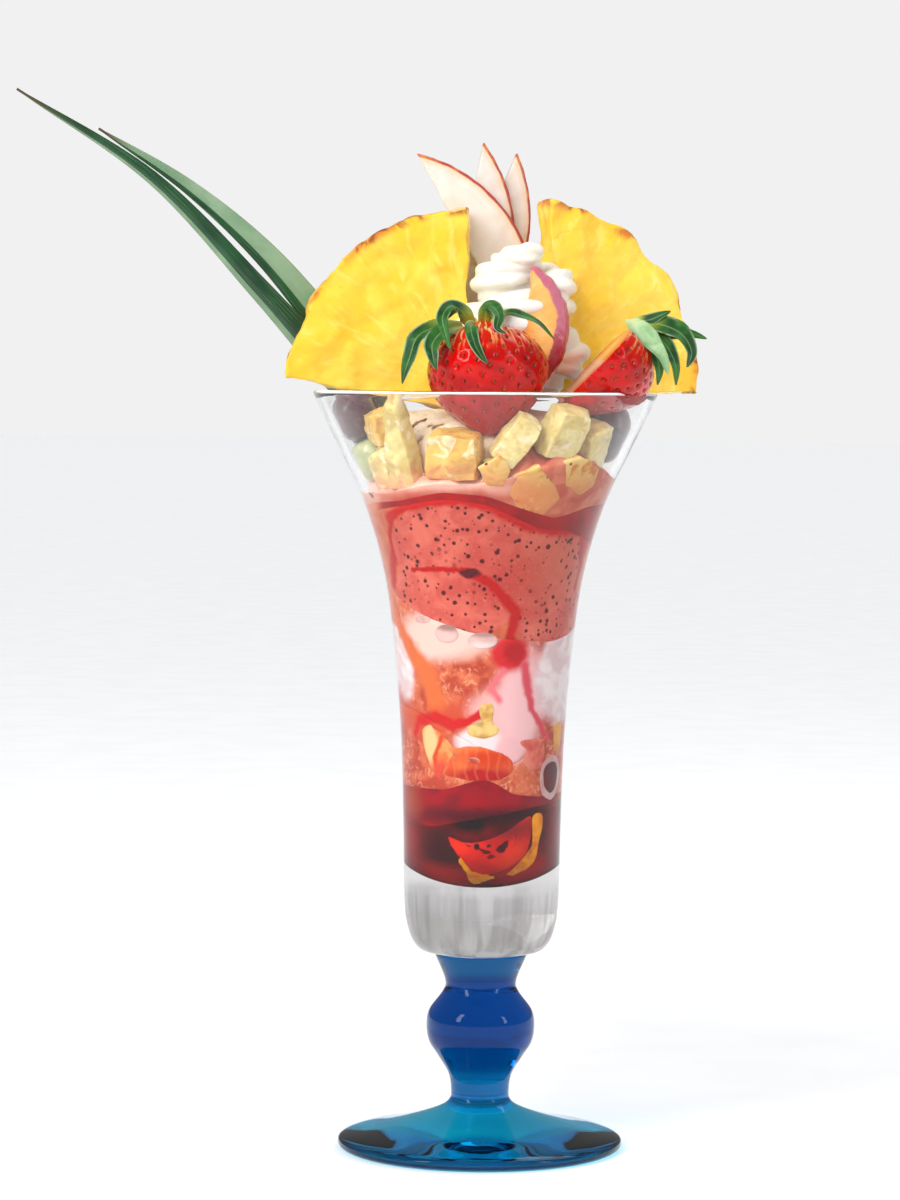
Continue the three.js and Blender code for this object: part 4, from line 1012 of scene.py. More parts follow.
lobe_glow, tree, shader = new_finish("citrus_lobe", rough=0.3, shine=0.05, glow=0.3,
    reach=0.003, spread=(1.0, 0.5, 0.2))
point = wall_point(tree, 1.6, 240)
cloud = patches(tree, 260, 4, 0.8)
feed(paint(tones(cloud, (230, 148, 86), (216, 106, 50)),
    *ovals(point, ((-17.5, 109), (2.6, 5.2), 0.4, (238, 186, 132))),
    (draw_streaks(point, [(-13, 110.4), (-15.6, 105), (-15, 101)], 0.7, 0.6), (196, 64, 24)),
    *ovals(point, ((-13.4, 101), (4, 3), 0.6, (200, 70, 50)))), shader)
relief(shader, cloud, 0.2, 0.0006)
dress(citrus_lobe, lobe_glow, "citrus_flesh")
dress(citrus_front, citrus_glow, "citrus_flesh", "citrus_piece")
dress(citrus_back, citrus_glow, "citrus_flesh", "citrus_piece_back")
dress(berry_front, berry_glow, "strawberry_red", "berry_piece")
dress(grape_front, grape_glow, "grape_dark", "grape_piece")
dress(mango_front, mango_glow, "mango_flesh", "mango_piece")
dress(mango_back, mango_glow, "mango_flesh", "mango_piece_back")
dress(apple_front, apple_glow, "apple_flesh", "apple_piece")
grape_ring = pressed("grape_cream_ring", (25.6, 98.8), [
    (19.6, 102), (21.4, 104.6), (25.4, 106), (30, 105.2), (33, 101), (31.4, 95.4), (26.6, 92.4), (21.4, 93.8),
    (19.4, 97.6)],
    reach=0.18)
dress(grape_ring, white_ring, "vanilla_cream")

# %% [markdown]
# Deep in the dark jelly a wedge of orange shows, with its rind to the right and below. The jelly colours
# its flesh red, and only the rind keeps its orange. Three pieces make it: the flesh, the rind as a band
# along its edge, and the short rind at the lower left. The flesh has a few tiny dark pips.

# %% The sunk orange wedge
wedge_flesh = pressed("sunk_wedge_flesh", (4, 80.5), [
    (-13, 84.6), (-8, 83.2), (0, 83.8), (8, 86.4), (14, 89.4), (18.6, 90.4), (18.4, 84.6), (16, 79), (10, 75.6),
    (4, 74), (-3, 73.4), (-7, 77.4), (-10, 80)], thick=2.6)
wedge_rind = pressed("sunk_wedge_rind", (17.4, 81.8), [
    (17.6, 90.4), (21.4, 90.8), (22.6, 87.6), (20.6, 82), (19.4, 76.4), (14.6, 73.8), (9.4, 73.6), (12.6, 76.4),
    (16.4, 79.8), (17.8, 85)], reach=0.26, thick=2.2, uneven=0.8)
wedge_rind_low = pressed("sunk_wedge_rind_low", (-2.6, 73.8), [
    (-8.4, 78.6), (-6.6, 79), (-4.4, 75.8), (1.6, 74.4), (6.6, 73.6), (2, 72.4), (-3, 71.4), (-6, 72.8),
    (-6.6, 75.8)],
    reach=0.26, thick=2.0, uneven=0.6)

sunk_flesh, tree, shader = new_finish("sunk_flesh", rough=0.3, shine=0.05, glow=0.3, reach=0.003,
    spread=(1.0, 0.15, 0.05))
point = wall_point(tree, 1.6, 220)
cloud = patches(tree, 150, 4, 0.8)
feed(paint(tones(cloud, (200, 16, 2), (168, 6, 4)),
    *ovals(point, ((6, 86.5), (12, 2.6), 0.8, (120, 2, 6)), ((-8, 81.6), (4.6, 3), 0.7, (214, 30, 2)),
    ((12, 78), (6, 4), 0.8, (206, 40, 0)), ((-1.6, 81.9), (0.95, 0.8), 0.2, (20, 4, 2)),
    ((2.2, 82.2), (0.8, 0.5), 0.3, (50, 6, 2)))), shader)
relief(shader, cloud, 0.1, 0.0006)
sunk_rind = cut_fruit("sunk_rind", (236, 150, 6), (206, 96, 0), glow=0.3, patch=300, grain=1100, bump=0.3,
    coat=0.0, shine=0.05)
dress(wedge_flesh, sunk_flesh, "citrus_flesh")
dress(wedge_rind, sunk_rind, "citrus_flesh")
dress(wedge_rind_low, sunk_rind, "citrus_flesh")

# %% [markdown]
# Under the lower scoop, a few flat bubbles of air are caught between the cream and the glass. Each is
# a shallow grey-pink oval, with painted shade along its upper edge and a lighter lower part.

# %% Bubbles of air
bubble_look, tree, shader = new_finish("bubble_look", rough=0.3, shine=0.1)
point = wall_point(tree, 0.6, 300)
edge_tone = patches(tree, 260, 3, 0.4)
# painted shade: the dark ovals along the upper edge of each bubble
feed(paint(tones(edge_tone, (204, 172, 166), (188, 148, 142)),
    *ovals(point, ((-10.2, 136.6), (3.4, 1.4), 0.6, (206, 178, 172)),
    ((-9.4, 139.4), (4, 1.1), 0.6, (150, 112, 106)), ((-0.4, 134.2), (4, 1.3), 0.6, (214, 200, 198)),
    ((0, 137.6), (4.4, 0.9), 0.6, (158, 128, 122)))), shader)
relief(shader, edge_tone, 0.05, 0.0003)
for number, (centre, half) in enumerate([((-10.2, 137.4), (3.7, 2.6)), ((-0.2, 135.8), (4.3, 2.2)),
        ((-17.6, 140.9), (3.0, 1.1))], 1):
    oval = [(centre[0] + half[0] * math.cos(t), centre[1] + half[1] * math.sin(t)) for t in np.linspace(0, TAU,
        11)[:-1]]
    bubble = pressed(f"bubble_{number}", centre, oval, reach=0.2, thick=0.8, uneven=0.1)
    dress(bubble, bubble_look, "vanilla_cream")

# %% [markdown]
# ## Strawberries
#
# A strawberry is a plump cone. Its surface is a pattern of small pits, each with one seed, and the pits
# lie in spirals like the scales of a pine cone. The golden angle makes that pattern: each next seed
# turns by 137.5 degrees. The berry is made as a fine grid, and every point near a seed sinks a little.
# Each berry is built upright round its own middle line, tip down, and then set in its place.

# %% The shape of a berry
BERRY_LENGTH, BERRY_RADIUS, SEEDS, BERRY_ROWS, BERRY_TURNS = 30.0, 15.4, 190, 110, 200
GOLDEN_ANGLE, PIT_SIZE, PIT_DEPTH, UP_SHARE = 2.399963, 0.75, 0.5, 0.35


def berry_radius(share):
    """Radius along the berry: 0 is the tip and 1 the shoulder under the leaves."""
    return BERRY_RADIUS * max(0.0, math.sin(math.pi * share ** 1.3)) ** 0.5


def berry_point(share, angle, seed):
    uneven = 1 + 0.04 * math.sin(3 * angle + seed) + 0.03 * math.sin(2 * angle + 5 * share)
    lumps = 0.25 * noise.noise(Vector((3 * math.cos(angle), 3 * math.sin(angle), 6 * share + seed)))
    r = berry_radius(share) * uneven + lumps
    dip = 2.2 * max(0.0, share - 0.86) / 0.14 * math.cos(angle) ** 2
    return np.array([r * math.cos(angle), r * math.sin(angle), BERRY_LENGTH * (share - 0.5) - dip])


def seed_places():
    """Spots in spirals, evenly spread over the skin: (share of the length, angle)."""
    shares = np.linspace(0.012, 0.985, 200)
    area = np.cumsum([berry_radius(s) for s in shares])
    steps = (np.arange(SEEDS) + 0.5) / SEEDS * area[-1]
    return [(float(np.interp(a, area, shares)), (k * GOLDEN_ANGLE) % TAU) for k, a in enumerate(steps)]


def berry(name, seed, half=False):
    """A berry with a pit at each seed, or its half, and the spots of its seeds."""
    spots = np.array([berry_point(s, a, seed) for s, a in seed_places()])
    grid = np.array([berry_point(0.012 + 0.976 * j / BERRY_ROWS, TAU * k / BERRY_TURNS, seed)
        for j in range(BERRY_ROWS + 1) for k in range(BERRY_TURNS)])
    for pit in spots:
        near = np.linalg.norm(grid - pit, axis=1)
        close = near < 2.2
        inward = -grid[close] * np.array([1, 1, UP_SHARE])
        inward /= np.linalg.norm(inward, axis=1)[:, None] + 1e-9
        grid[close] += inward * (PIT_DEPTH * np.exp(-(near[close] / PIT_SIZE) ** 2))[:, None]
    ends = [tuple(range(BERRY_TURNS))[::-1], tuple(range(BERRY_ROWS * BERRY_TURNS, len(grid)))]
    piece = mesh_piece(name, grid, band_faces(BERRY_ROWS, BERRY_TURNS) + ends)
    if half:
        cutting = bmesh.new()
        cutting.from_mesh(piece.data)
        cut = bmesh.ops.bisect_plane(cutting, geom=cutting.verts[:] + cutting.edges[:] + cutting.faces[:],
            plane_co=(0, 0, 0), plane_no=(0, 1, 0), clear_outer=True)
        bmesh.ops.edgenet_fill(cutting, edges=[e for e in cut["geom_cut"] if isinstance(e, bmesh.types.BMEdge)])
        cutting.to_mesh(piece.data)
        cutting.free()
        for face in piece.data.polygons:
            face.use_smooth = abs(face.normal.y - 1) > 1e-3
        spots = spots[spots[:, 1] < -0.5]
    return piece, spots


def seeds_on(name, spots):
    """Small pointed seeds, one in each pit, joined into one piece."""
    points, faces = [], []
    for pit in spots:
        turn = Vector(pit * np.array([1, 1, UP_SHARE])).normalized().to_track_quat("Z", "Y")
        base = len(points)
        for r, h in ((0.22, -0.28), (0.42, -0.1), (0.34, 0.12), (0.12, 0.22)):
            for k in range(6):
                p = Vector((r * 0.8 * math.cos(TAU * k / 6), r * 1.35 * math.sin(TAU * k / 6), h - 0.22))
                points.append(tuple(Vector(pit) + turn @ p))
        faces += band_faces(3, 6, base) + [tuple(range(base + 18, base + 24))]
    return mesh_piece(name, points, faces)


def placing(where, rx=0.0, ry=0.0, rz=0.0):
    """A place in millimetres and turns in degrees about X, then Y, then Z of the turned piece."""
    return (Matrix.Translation(Vector(where) * MM) @ Matrix.Rotation(math.radians(rx), 4, "X")
        @ Matrix.Rotation(math.radians(ry), 4, "Y") @ Matrix.Rotation(math.radians(rz), 4, "Z"))


whole_place = placing((0.2, -25, 203.4), -10, -4)
whole_berry, spots = berry("strawberry_whole_ripe", 1)
whole_seeds = seeds_on("strawberry_whole_seeds", spots)
half_axis = Vector((0.68, 0.1, 0.72)).normalized()
cut_side = Vector((-0.62, -0.05, 0.74))
cut_side = (cut_side - half_axis * cut_side.dot(half_axis)).normalized()
half_turn = Matrix((cut_side.cross(half_axis), cut_side, half_axis)).transposed().to_4x4()
half_place = Matrix.Translation(Vector((28.1, -17.5, 207)) * MM) @ half_turn
half_berry, half_spots = berry("strawberry_half_ripe", 4, half=True)
half_seeds = seeds_on("strawberry_half_seeds", half_spots)
for piece, where in ((whole_berry, whole_place), (whole_seeds, whole_place), (half_berry, half_place),
        (half_seeds, half_place)):
    piece.matrix_world = where
print("seeds on the two berries:", len(spots), len(half_spots))

# %% [markdown]
# Ripe skin is a deep, wet red. Near the leaves it turns to orange, which is partly the berry's own colour
# and partly painted light from above, and pale streaks, which are painted highlights, run down from the
# shoulder. The cut face of the half is pale in the middle and reddens towards the skin, with fine
# lines that run outwards. The half's finish has both looks: it asks whether a point lies on the flat cut,
# and if so, how far it is from the middle line. The whole berry has a skin of its own, with painted shade
# that darkens its tip.

# %% Strawberry finishes
strawberry_red, tree, shader = new_finish("strawberry_red", glow=0.2, reach=0.004, spread=(1.0, 0.15, 0.1),
    shine=0.36)
x, y, z = axes(tree)
down = joined_axes(tree, times(maths("ARCTAN2", y, x), 4.0), times(z, 60.0))
shoulder = ramp(z, 0.0045, 0.0145)
tone = patches(tree, 130, 3, 0.5)
# the lighter orange shoulder is partly own colour and partly painted light; the pale streaks are painted highlights
skin = paint(tones(tone, (198, 4, 0), (166, 0, 2)), (times(shoulder, 0.6), (222, 44, 8)),
    (times(ramp(patches(tree, 2.6, 3, 0.3, down), 0.5, 0.68), shoulder), (246, 196, 120)))
from_middle = vector_maths("LENGTH", vector_maths("MULTIPLY", place(tree), (1.0, 0.0, 0.62)))
fibres = add_node(tree, "TexWave", Scale=240, Distortion=3.0, Vector=place(tree)).outputs["Fac"]
inside = paint((244, 186, 120), (ramp(from_middle, 0.004, 0.0085), (238, 128, 84)),
    (ramp(from_middle, 0.009, 0.0128), (206, 30, 12)), (ramp(fibres, 0.8, 1.0, 0, 0.3), (252, 220, 180)))
feed(blend(ramp(y, -0.00012, -0.00002), skin, inside), shader)
feed(ramp(tone, 0.3, 0.7, 0.1, 0.24), shader, "Roughness")
relief(shader, plus(patches(tree, 700, 4), tone), 0.08, 0.0004)

whole_red, tree, shader = new_finish("strawberry_skin", glow=0.2, reach=0.004, spread=(1.0, 0.15, 0.1), shine=0.36)
x, y, z = axes(tree)
down = joined_axes(tree, times(maths("ARCTAN2", y, x), 5.0), times(z, 70.0))
shoulder = ramp(z, 0.003, 0.0135)
tone = patches(tree, 130, 3, 0.5)
# painted shade darkens the tip; the orange shoulder is partly own colour and partly painted light; the pale streaks
# are painted highlights
feed(paint(tones(tone, (200, 4, 0), (166, 0, 2)), (ramp(z, -0.003, -0.011, 0, 0.6), (150, 0, 12)),
    (times(shoulder, 0.7), (224, 44, 6)),
    (times(ramp(patches(tree, 3.0, 3, 0.3, down), 0.5, 0.6), shoulder), (250, 190, 120))), shader)
feed(ramp(tone, 0.3, 0.7, 0.1, 0.24), shader, "Roughness")
relief(shader, plus(patches(tree, 700, 4), tone), 0.08, 0.0004)
seed_gold = cut_fruit("seed_gold", (160, 80, 24), (96, 20, 8), glow=0.1, patch=400, bump=0.1)
dress(whole_berry, whole_red, "strawberry_red", "strawberry_whole")
dress(whole_seeds, seed_gold, "strawberry_red")
dress(half_berry, strawberry_red, "strawberry_red", "strawberry_half")
dress(half_seeds, seed_gold, "strawberry_red")

# %% [markdown]
# ## Pineapple, apple and peach
#
# Two wedges of a pineapple ring stand on the rim like open wings. Their round edge is uneven, where the
# knife took off the skin and left the bottoms of the eyes, with bits of brown skin here and there. The
# flesh has fibres that run from the core outwards. As each copy keeps its own middle (the ring's
# centre), the finish can measure the way from there: that gives the skin at the edge and the fibres.

# %% Pineapple wedges
left_place, right_place = placing((-4, 10, 200)), placing((9.6, 7.5, 202.4), 0, 0, 20)
pineapple_left = softened("pineapple_left", "pineapple_left_wedge", 0.55, 6,
    [(1.1, 7.0), (0.3, 3.0), (0.1, 1.1)], 0.55,
    left_place)
pineapple_right = softened("pineapple_right", "pineapple_right_wedge", 0.55, 6,
    [(1.1, 7.0), (0.3, 3.0), (0.1, 1.1)],
    0.66, right_place)

pineapple_flesh, tree, shader = new_finish("pineapple_flesh", glow=0.25, reach=0.005,
    spread=(1.0, 0.7, 0.2), Coat_Weight=0.1, Coat_Roughness=0.15, shine=0.35)
x, y, z = axes(tree)
out = vector_maths("LENGTH", vector_maths("MULTIPLY", place(tree), (1.0, 0.0, 1.0)))
outwards = joined_axes(tree, times(maths("ARCTAN2", z, x), 9.0), times(out, 75.0), times(y, 160.0))
fibres, fine = patches(tree, 1.6, 4, 0.5, outwards), patches(tree, 5.2, 4, 0.4, outwards)
cloud, chips = patches(tree, 55, 4, 0.8), patches(tree, 150, 4, 1.4)
edge = ramp(out, 0.0455, 0.0485)
skin_left = times(edge, ramp(patches(tree, 75, 3, 0.8), 0.5, 0.6))
feed(paint(tones(cloud, (246, 210, 80), (244, 192, 50), 0.36, 0.64),
    (ramp(fibres, 0.52, 0.72, 0, 0.45), (250, 226, 120)), (ramp(fine, 0.58, 0.78, 0, 0.3), (240, 176, 30)),
    (ramp(chips, 0.66, 0.74, 0, 0.5), (236, 160, 20)),
    (times(edge, 0.35), (236, 172, 40)), (skin_left, (196, 112, 40)),
    (times(skin_left, ramp(chips, 0.5, 0.6)), (130, 52, 26))), shader)
feed(ramp(cloud, 0.35, 0.65, 0.2, 0.45), shader, "Roughness")
relief(shader, maths("MULTIPLY_ADD", fine, 0.6, fibres), 0.22, 0.0007)
dress(pineapple_left, pineapple_flesh, "pineapple_flesh", "pineapple_left")
dress(pineapple_right, pineapple_flesh, "pineapple_flesh", "pineapple_right")

# %% [markdown]
# The apple slices are thin half-moons, so light shines through them a little. All that tells us that
# they are apple is the thin line of red-brown skin along the round edge, and the flesh that is a touch
# greener under it. The finish measures the way from the middle of the apple's round.

# %% Apple slices
apple_slice_finish, tree, shader = new_finish("apple_slice_flesh", glow=0.4, reach=0.004,
    spread=(1.0, 0.85, 0.6), rough=0.32)
from_core = vector_maths("LENGTH", vector_maths("MULTIPLY", vector_maths(
    "SUBTRACT", place(tree), (-0.02683, 0.0, -0.031)), (1.0, 0.0, 1.0)))
cloud, fine = patches(tree, 90, 4, 0.6), patches(tree, 900, 4, 0.2)
uneven_skin = maths("MULTIPLY_ADD", patches(tree, 160, 3), 0.0009, from_core)
feed(paint(tones(cloud, (232, 221, 213), (222, 207, 196)), (ramp(fine, 0.55, 0.8, 0, 0.25), (238, 230, 222)),
    (ramp(uneven_skin, 0.0386, 0.0404, 0, 0.6), (226, 190, 150)),
    (ramp(uneven_skin, 0.0403, 0.0408), (170, 66, 58)),
    (times(ramp(uneven_skin, 0.0403, 0.0408), ramp(cloud, 0.5, 0.66)), (206, 128, 70))), shader)
relief(shader, fine, 0.15, 0.0004)
for node, tip, lean, turned in (("apple_slice_1", (-19, 18.6, 263.4), -29, 0),
        ("apple_slice_2", (-1.1, 22.2, 266.8), 11, 4),
        ("apple_slice_3", (8, 26.4, 264.2), 24, 10)):
    slice_ = softened(node, node + "_thin", 0.4, 3, [(0.12, 3.0)], 0.5, placing(tip, 0, lean, turned))
    dress(slice_, apple_slice_finish, "apple_slice", node)

# %% [markdown]
# The peach slice stands on end behind the strawberry. Its flesh is a warm cream that deepens to orange
# on the stone side, and its skin curls over the top and down the right, purple-pink above and dark red
# below. The finish paints the skin as a thin strip along the round side, with a torn inner edge.

# %% Peach slice
peach_place = placing((9, -11.4, 213.8), -6, 2, 12)
peach = softened("peach_slice", "peach_slice_flesh", 0.45, 6, [(0.5, 5.0), (0.2, 1.6)], 0.5, peach_place)
peach_flesh, tree, shader = new_finish("peach_flesh", glow=0.4, reach=0.005,
    spread=(1.0, 0.6, 0.3), Coat_Weight=0.1, Coat_Roughness=0.12)
x, y, z = axes(tree)
cloud, fine = patches(tree, 110, 4, 0.9), patches(tree, 420, 4, 0.6)
lean = maths("MULTIPLY_ADD", cloud, 0.004, x)
share = maths("MULTIPLY_ADD", z, 25.0, 0.5, clamp=True)
bow = maths("POWER", maths("SINE", times(share, math.pi)), 0.6)
round_side = maths("MULTIPLY_ADD", bow, 0.013, times(maths("COSINE", times(share, math.pi)), -0.0022))
inside_skin = maths("SUBTRACT", round_side, maths("MULTIPLY_ADD", patches(tree, 260, 4, 0.8), 0.0035, x))
peel = ramp(inside_skin, 0.0036, 0.0028)
peel_tint = blend(ramp(maths("MULTIPLY_ADD", cloud, 0.02, z), 0.018, 0.002), (186, 104, 124), (150, 12, 28))
feed(paint(tones(cloud, (240, 192, 116), (234, 172, 92)), (ramp(lean, 0.0062, 0.0018), (240, 150, 62)),
    (times(ramp(lean, 0.003, 0.0005), ramp(fine, 0.5, 0.6)), (190, 84, 30)),
    (ramp(fine, 0.6, 0.8, 0, 0.4), (253, 226, 160)), (times(ramp(z, -0.004, -0.014), 0.5), (252, 222, 156)),
    (peel, peel_tint)), shader)
feed(ramp(cloud, 0.3, 0.7, 0.18, 0.4), shader, "Roughness")
relief(shader, plus(fine, cloud), 0.25, 0.0006)
dress(peach, peach_flesh, "peach_flesh", "peach_slice")

# %% [markdown]
# ## Leaves
#
# All the green parts are blades: a middle line, a width that swells and comes to a point, a fold along
# the rib, and very little thickness. One helper lofts such a blade along a curve. It also stores, for
# each point, how far it lies across the blade (-1 to 1) and along it (0 to 1). The finishes read these
# two values to paint the rib, the veins and the pale edges, however the blade is bent.

# %% The blade helper
def blade(name, line, width, face=None, side=None, fold=0.2, thick=0.5, steps=10, cells=12, ripple=0.0, point=0.75,
        base=0.35):
    """Lofts a blade. `face` is the way its upper side looks, or `side` is the way across it."""
    centre = smooth_line(line, steps)
    count = len(centre)
    points, across, along = [], [], []
    for k, middle in enumerate(centre):
        t = k / (count - 1)
        forward = Vector(centre[min(k + 1, count - 1)] - centre[max(k - 1, 0)]).normalized()
        wide = forward.cross(Vector(face)) if side is None else Vector(side) - forward * forward.dot(Vector(side))
        wide.normalize()
        up = wide.cross(forward).normalized() if side is None else forward.cross(wide).normalized()
        half = 0.5 * width * min(1.0, base + 3 * t) * max(0.02, min(1.0, 1.75 * (1 - t))) ** point + 0.12
        for layer in (1, -1):
            for j in range(cells + 1):
                u = 2 * j / cells - 1
                wave = ripple * math.sin(9 * t + 2 * u) * abs(u) * half
                body = 0.5 * thick * max(1 - u * u, 0.05) * min(1.0, 0.25 + 4 * (1 - t))
                lift = fold * half * abs(u) + wave + layer * body
                points.append(tuple(Vector(middle) + wide * (u * half) + up * lift))
                across.append(u)
                along.append(t)
    row = cells + 1
    faces = []
    for k in range(count - 1):
        a, b = 2 * row * k, 2 * row * (k + 1)
        faces += [(a + j, a + j + 1, b + j + 1, b + j) for j in range(cells)]
        faces += [(a + row + j + 1, a + row + j, b + row + j, b + row + j + 1) for j in range(cells)]
        faces += [(a + row, a, b, b + row), (a + cells, a + row + cells, b + row + cells, b + cells)]
    last = 2 * row * (count - 1)
    faces += [(*range(row)[::-1], *range(row, 2 * row)),
        (*range(last, last + row), *range(last + row, last + 2 * row)[::-1])]
    piece = mesh_piece(name, points, faces)
    for label, values in (("across", across), ("along", along)):
        piece.data.attributes.new(label, "FLOAT", "POINT").data.foreach_set("value", values)
    return face_outwards(piece)


def stored(tree, label):
    """Reads one of the values that the blade helper stored."""
    node = add_node(tree, "Attribute")
    node.attribute_name = label
    return node.outputs["Fac"]


def joined(name, parts):
    """Joins several blades into one piece."""
    whole = bmesh.new()
    for part in parts:
        whole.from_mesh(part.data)
        bpy.data.objects.remove(part)
    mesh = bpy.data.meshes.new(name)
    whole.to_mesh(mesh)
    whole.free()
    mesh.shade_smooth()
    return new_object(name, mesh)


# %% [markdown]
# Two long leaves lean far out to the left. Each is folded along its middle like a boat. The finish paints
# the light and shade of that fold: one half pale grey-green as painted light, the other half deep green as
# painted shade. Fine parallel veins run their whole length.

# %% Long leaves
leaf_near = blade("leaf_near_blade", [(-28.5, 20, 181), (-30.5, 20, 184), (-34, 20.5, 196), (-42, 20.5, 205.5),
    (-61.2, 20, 227.1),
    (-89.6, 18.5, 256.3), (-125.3, 16, 279.4)], 8.8, side=(0.62, -0.25, 0.75), fold=0.28, thick=0.9,
    steps=14, cells=16)
leaf_far = blade("leaf_far_blade", [(-24, 24.5, 183), (-26, 24.5, 186), (-30, 25, 198), (-37, 25.5, 209),
    (-58, 26, 234.6),
    (-80, 25, 254), (-104, 21.5, 269.4)], 10.4, side=(0.6, 0.25, 0.75), fold=-0.2, thick=0.9, steps=14,
    cells=16, point=0.8)


def leaf_finish(name, lit_half, shaded_half, split, swap=1.0):
    finish, tree, shader = new_finish(name, glow=0.08, reach=0.002)
    across, along = stored(tree, "across"), stored(tree, "along")
    veins = patches(tree, 2.4, 3, 0.0, joined_axes(tree, times(across, 9.0), times(along, 5.0)))
    cloud = patches(tree, 60, 4, 0.6)
    # painted light and shade: one half of the blade is painted as lit, the other as shaded
    feed(paint(blend(ramp(times(across, swap), split - 0.06, split + 0.06), tones(cloud, *shaded_half),
        tones(cloud, *lit_half)), (ramp(veins, 0.52, 0.72, 0, 0.35), (150, 176, 140)),
        (ramp(maths("ABSOLUTE", across), 0.93, 1.0, 0, 0.5), (66, 104, 70)),
        (ramp(along, 0.93, 1.0), (70, 62, 40))), shader)
    feed(ramp(cloud, 0.3, 0.7, 0.32, 0.5), shader, "Roughness")
    relief(shader, veins, 0.25, 0.0005)
    return finish


near_green = leaf_finish("leaf_green", ((126, 156, 122), (104, 138, 104)), ((20, 74, 38), (14, 58, 30)), 0.45, -1.0)
far_green = leaf_finish("leaf_green_far", ((138, 166, 134), (112, 146, 112)), ((24, 84, 44), (16, 62, 34)), -0.35)
dress(leaf_near, near_green, "leaf_green", "leaf_near")
dress(leaf_far, far_green, "leaf_green", "leaf_far")

# %% [markdown]
# The green stars on the strawberries are wilder: each leaflet curls its own way, some hang over the
# fruit, some roll up and show their pale underside. Their lines are placed one by one from what the
# eye sees from the front, and the rest of the star fills the back. They are pale and yellow at the hub.

# %% Leaf stars
whole_leaflets = [
    ([(-7, -26, 216.6), (-13, -29.5, 216), (-17.4, -32, 213.6), (-19.2, -33, 208.6), (-20.4, -33, 205),
    (-21.2, -32.5, 201.8)],
    4.6, (-0.5, -1, 0.3)),
    ([(-6, -27.5, 216.6), (-10.6, -33, 215.2), (-13.4, -37, 212), (-13.2, -39, 208.4), (-12.4, -39.6, 205.4)],
    4.8, (-0.3, -1, 0.2)),
    ([(-3.4, -27, 216.4), (-6, -30, 220), (-9, -33, 221.4), (-11, -36, 218.6), (-10.2, -38.4, 214.4),
    (-9, -39.6, 210.6)],
    4.0, (-0.3, -1, 0.5)),
    ([(-2, -28, 216.6), (-3.8, -35, 216.4), (-3.0, -39.4, 212.4), (-1.2, -40.8, 209), (0.5, -41, 207)], 3.0,
    (0, -1, 0.3)),
    ([(-1, -27, 216.4), (0, -30, 220), (1.6, -32.5, 221.4), (3.2, -35.6, 219), (2.8, -38, 216),
    (5, -39, 214.6)], 3.6, (0.2, -1, 0.5)),
    ([(2, -25.5, 217.4), (5.6, -28, 219.8), (9, -30, 219.2), (13.4, -31.6, 217.4), (17.4, -32, 213.4)], 3.2,
    (0.3, -0.8, 0.9)),
    ([(-3, -21, 217), (-7, -16, 220.6), (-11, -13, 218)], 4.2, (-0.3, 0.5, 1)),
    ([(1, -20, 217), (4, -14.5, 220.8), (6, -11, 218.6)], 4.2, (0.3, 0.5, 1)),]
half_leaflets = [
    ([(37.4, -17.6, 218.8), (39.4, -21, 216.4), (42.6, -23.8, 212.6), (45.4, -25, 209), (46.8, -25, 204.6)],
    5.2, (0.3, -1, 0.3)),
    ([(38.6, -16, 218.6), (42, -17, 218.6), (45.4, -18, 220), (47.6, -18, 221)], 3.0, (0, -1, 0.5)),
    ([(39.6, -16.4, 218), (45.6, -19, 217.2), (50.4, -21, 214.8), (52.8, -22, 210.4), (51.8, -22, 206.6)], 5.6,
    (0.4, -1, 0.6)),
    ([(42, -14.5, 214.6), (49, -15.6, 215.2), (53.4, -16.4, 215), (57.0, -17, 214)], 3.4, (0, -0.9, 0.5)),
    ([(41, -17.4, 216), (45.6, -20.6, 213), (48.6, -22, 207.6), (49, -22, 202)], 3.8, (0.3, -1, 0.2)),
    ([(41, -17.6, 214), (43.8, -21, 209.4), (44.6, -22.4, 205.6), (44.2, -22.6, 202)], 3.0, (0.2, -1, 0)),
    ([(40, -13.6, 217), (42.4, -8, 219), (45.4, -4, 217)], 4.2, (0.3, 0.6, 1)),]
calyx_green, tree, shader = new_finish("calyx_green", rough=0.42, glow=0.1, reach=0.002)
across, along = stored(tree, "across"), stored(tree, "along")
cloud, veins = patches(tree, 160, 4, 0.6), patches(tree, 700, 3, 0.2)
edge = ramp(maths("ABSOLUTE", across), 0.72, 0.98)
feed(paint(tones(cloud, (40, 100, 34), (18, 64, 26), 0.38, 0.62), (ramp(veins, 0.55, 0.75, 0, 0.3), (96, 142, 88)),
    (times(edge, ramp(cloud, 0.4, 0.6)), (140, 174, 130)),
    (ramp(maths("ABSOLUTE", across), 0.14, 0.02, 0, 0.5), (120, 160, 90)),
    (ramp(along, 0.3, 0.02), (176, 190, 66))), shader)
relief(shader, plus(veins, cloud), 0.25, 0.0004)
pale_green, tree, shader = new_finish("calyx_pale", rough=0.45, glow=0.15, reach=0.002)
across, along = stored(tree, "across"), stored(tree, "along")
cloud = patches(tree, 200, 4, 0.6)
feed(paint(tones(cloud, (172, 202, 156), (132, 170, 118), 0.38, 0.62),
    (ramp(across, 0.2, 0.9, 0, 0.6), (70, 118, 72)), (ramp(along, 0.3, 0.0), (196, 206, 140))), shader)
relief(shader, cloud, 0.2, 0.0004)
whole_star = joined("strawberry_whole_star", [blade(f"w{i}", line, width, face, fold=0.3, thick=0.45, cells=10,
    ripple=0.1,
    base=0.5) for i, (line, width, face) in enumerate(whole_leaflets)])
half_star = joined("strawberry_half_star", [blade(f"h{i}", line, width, face, fold=0.3, thick=0.45, cells=10,
    ripple=0.12,
    base=0.5) for i, (line, width, face) in enumerate(half_leaflets) if i])
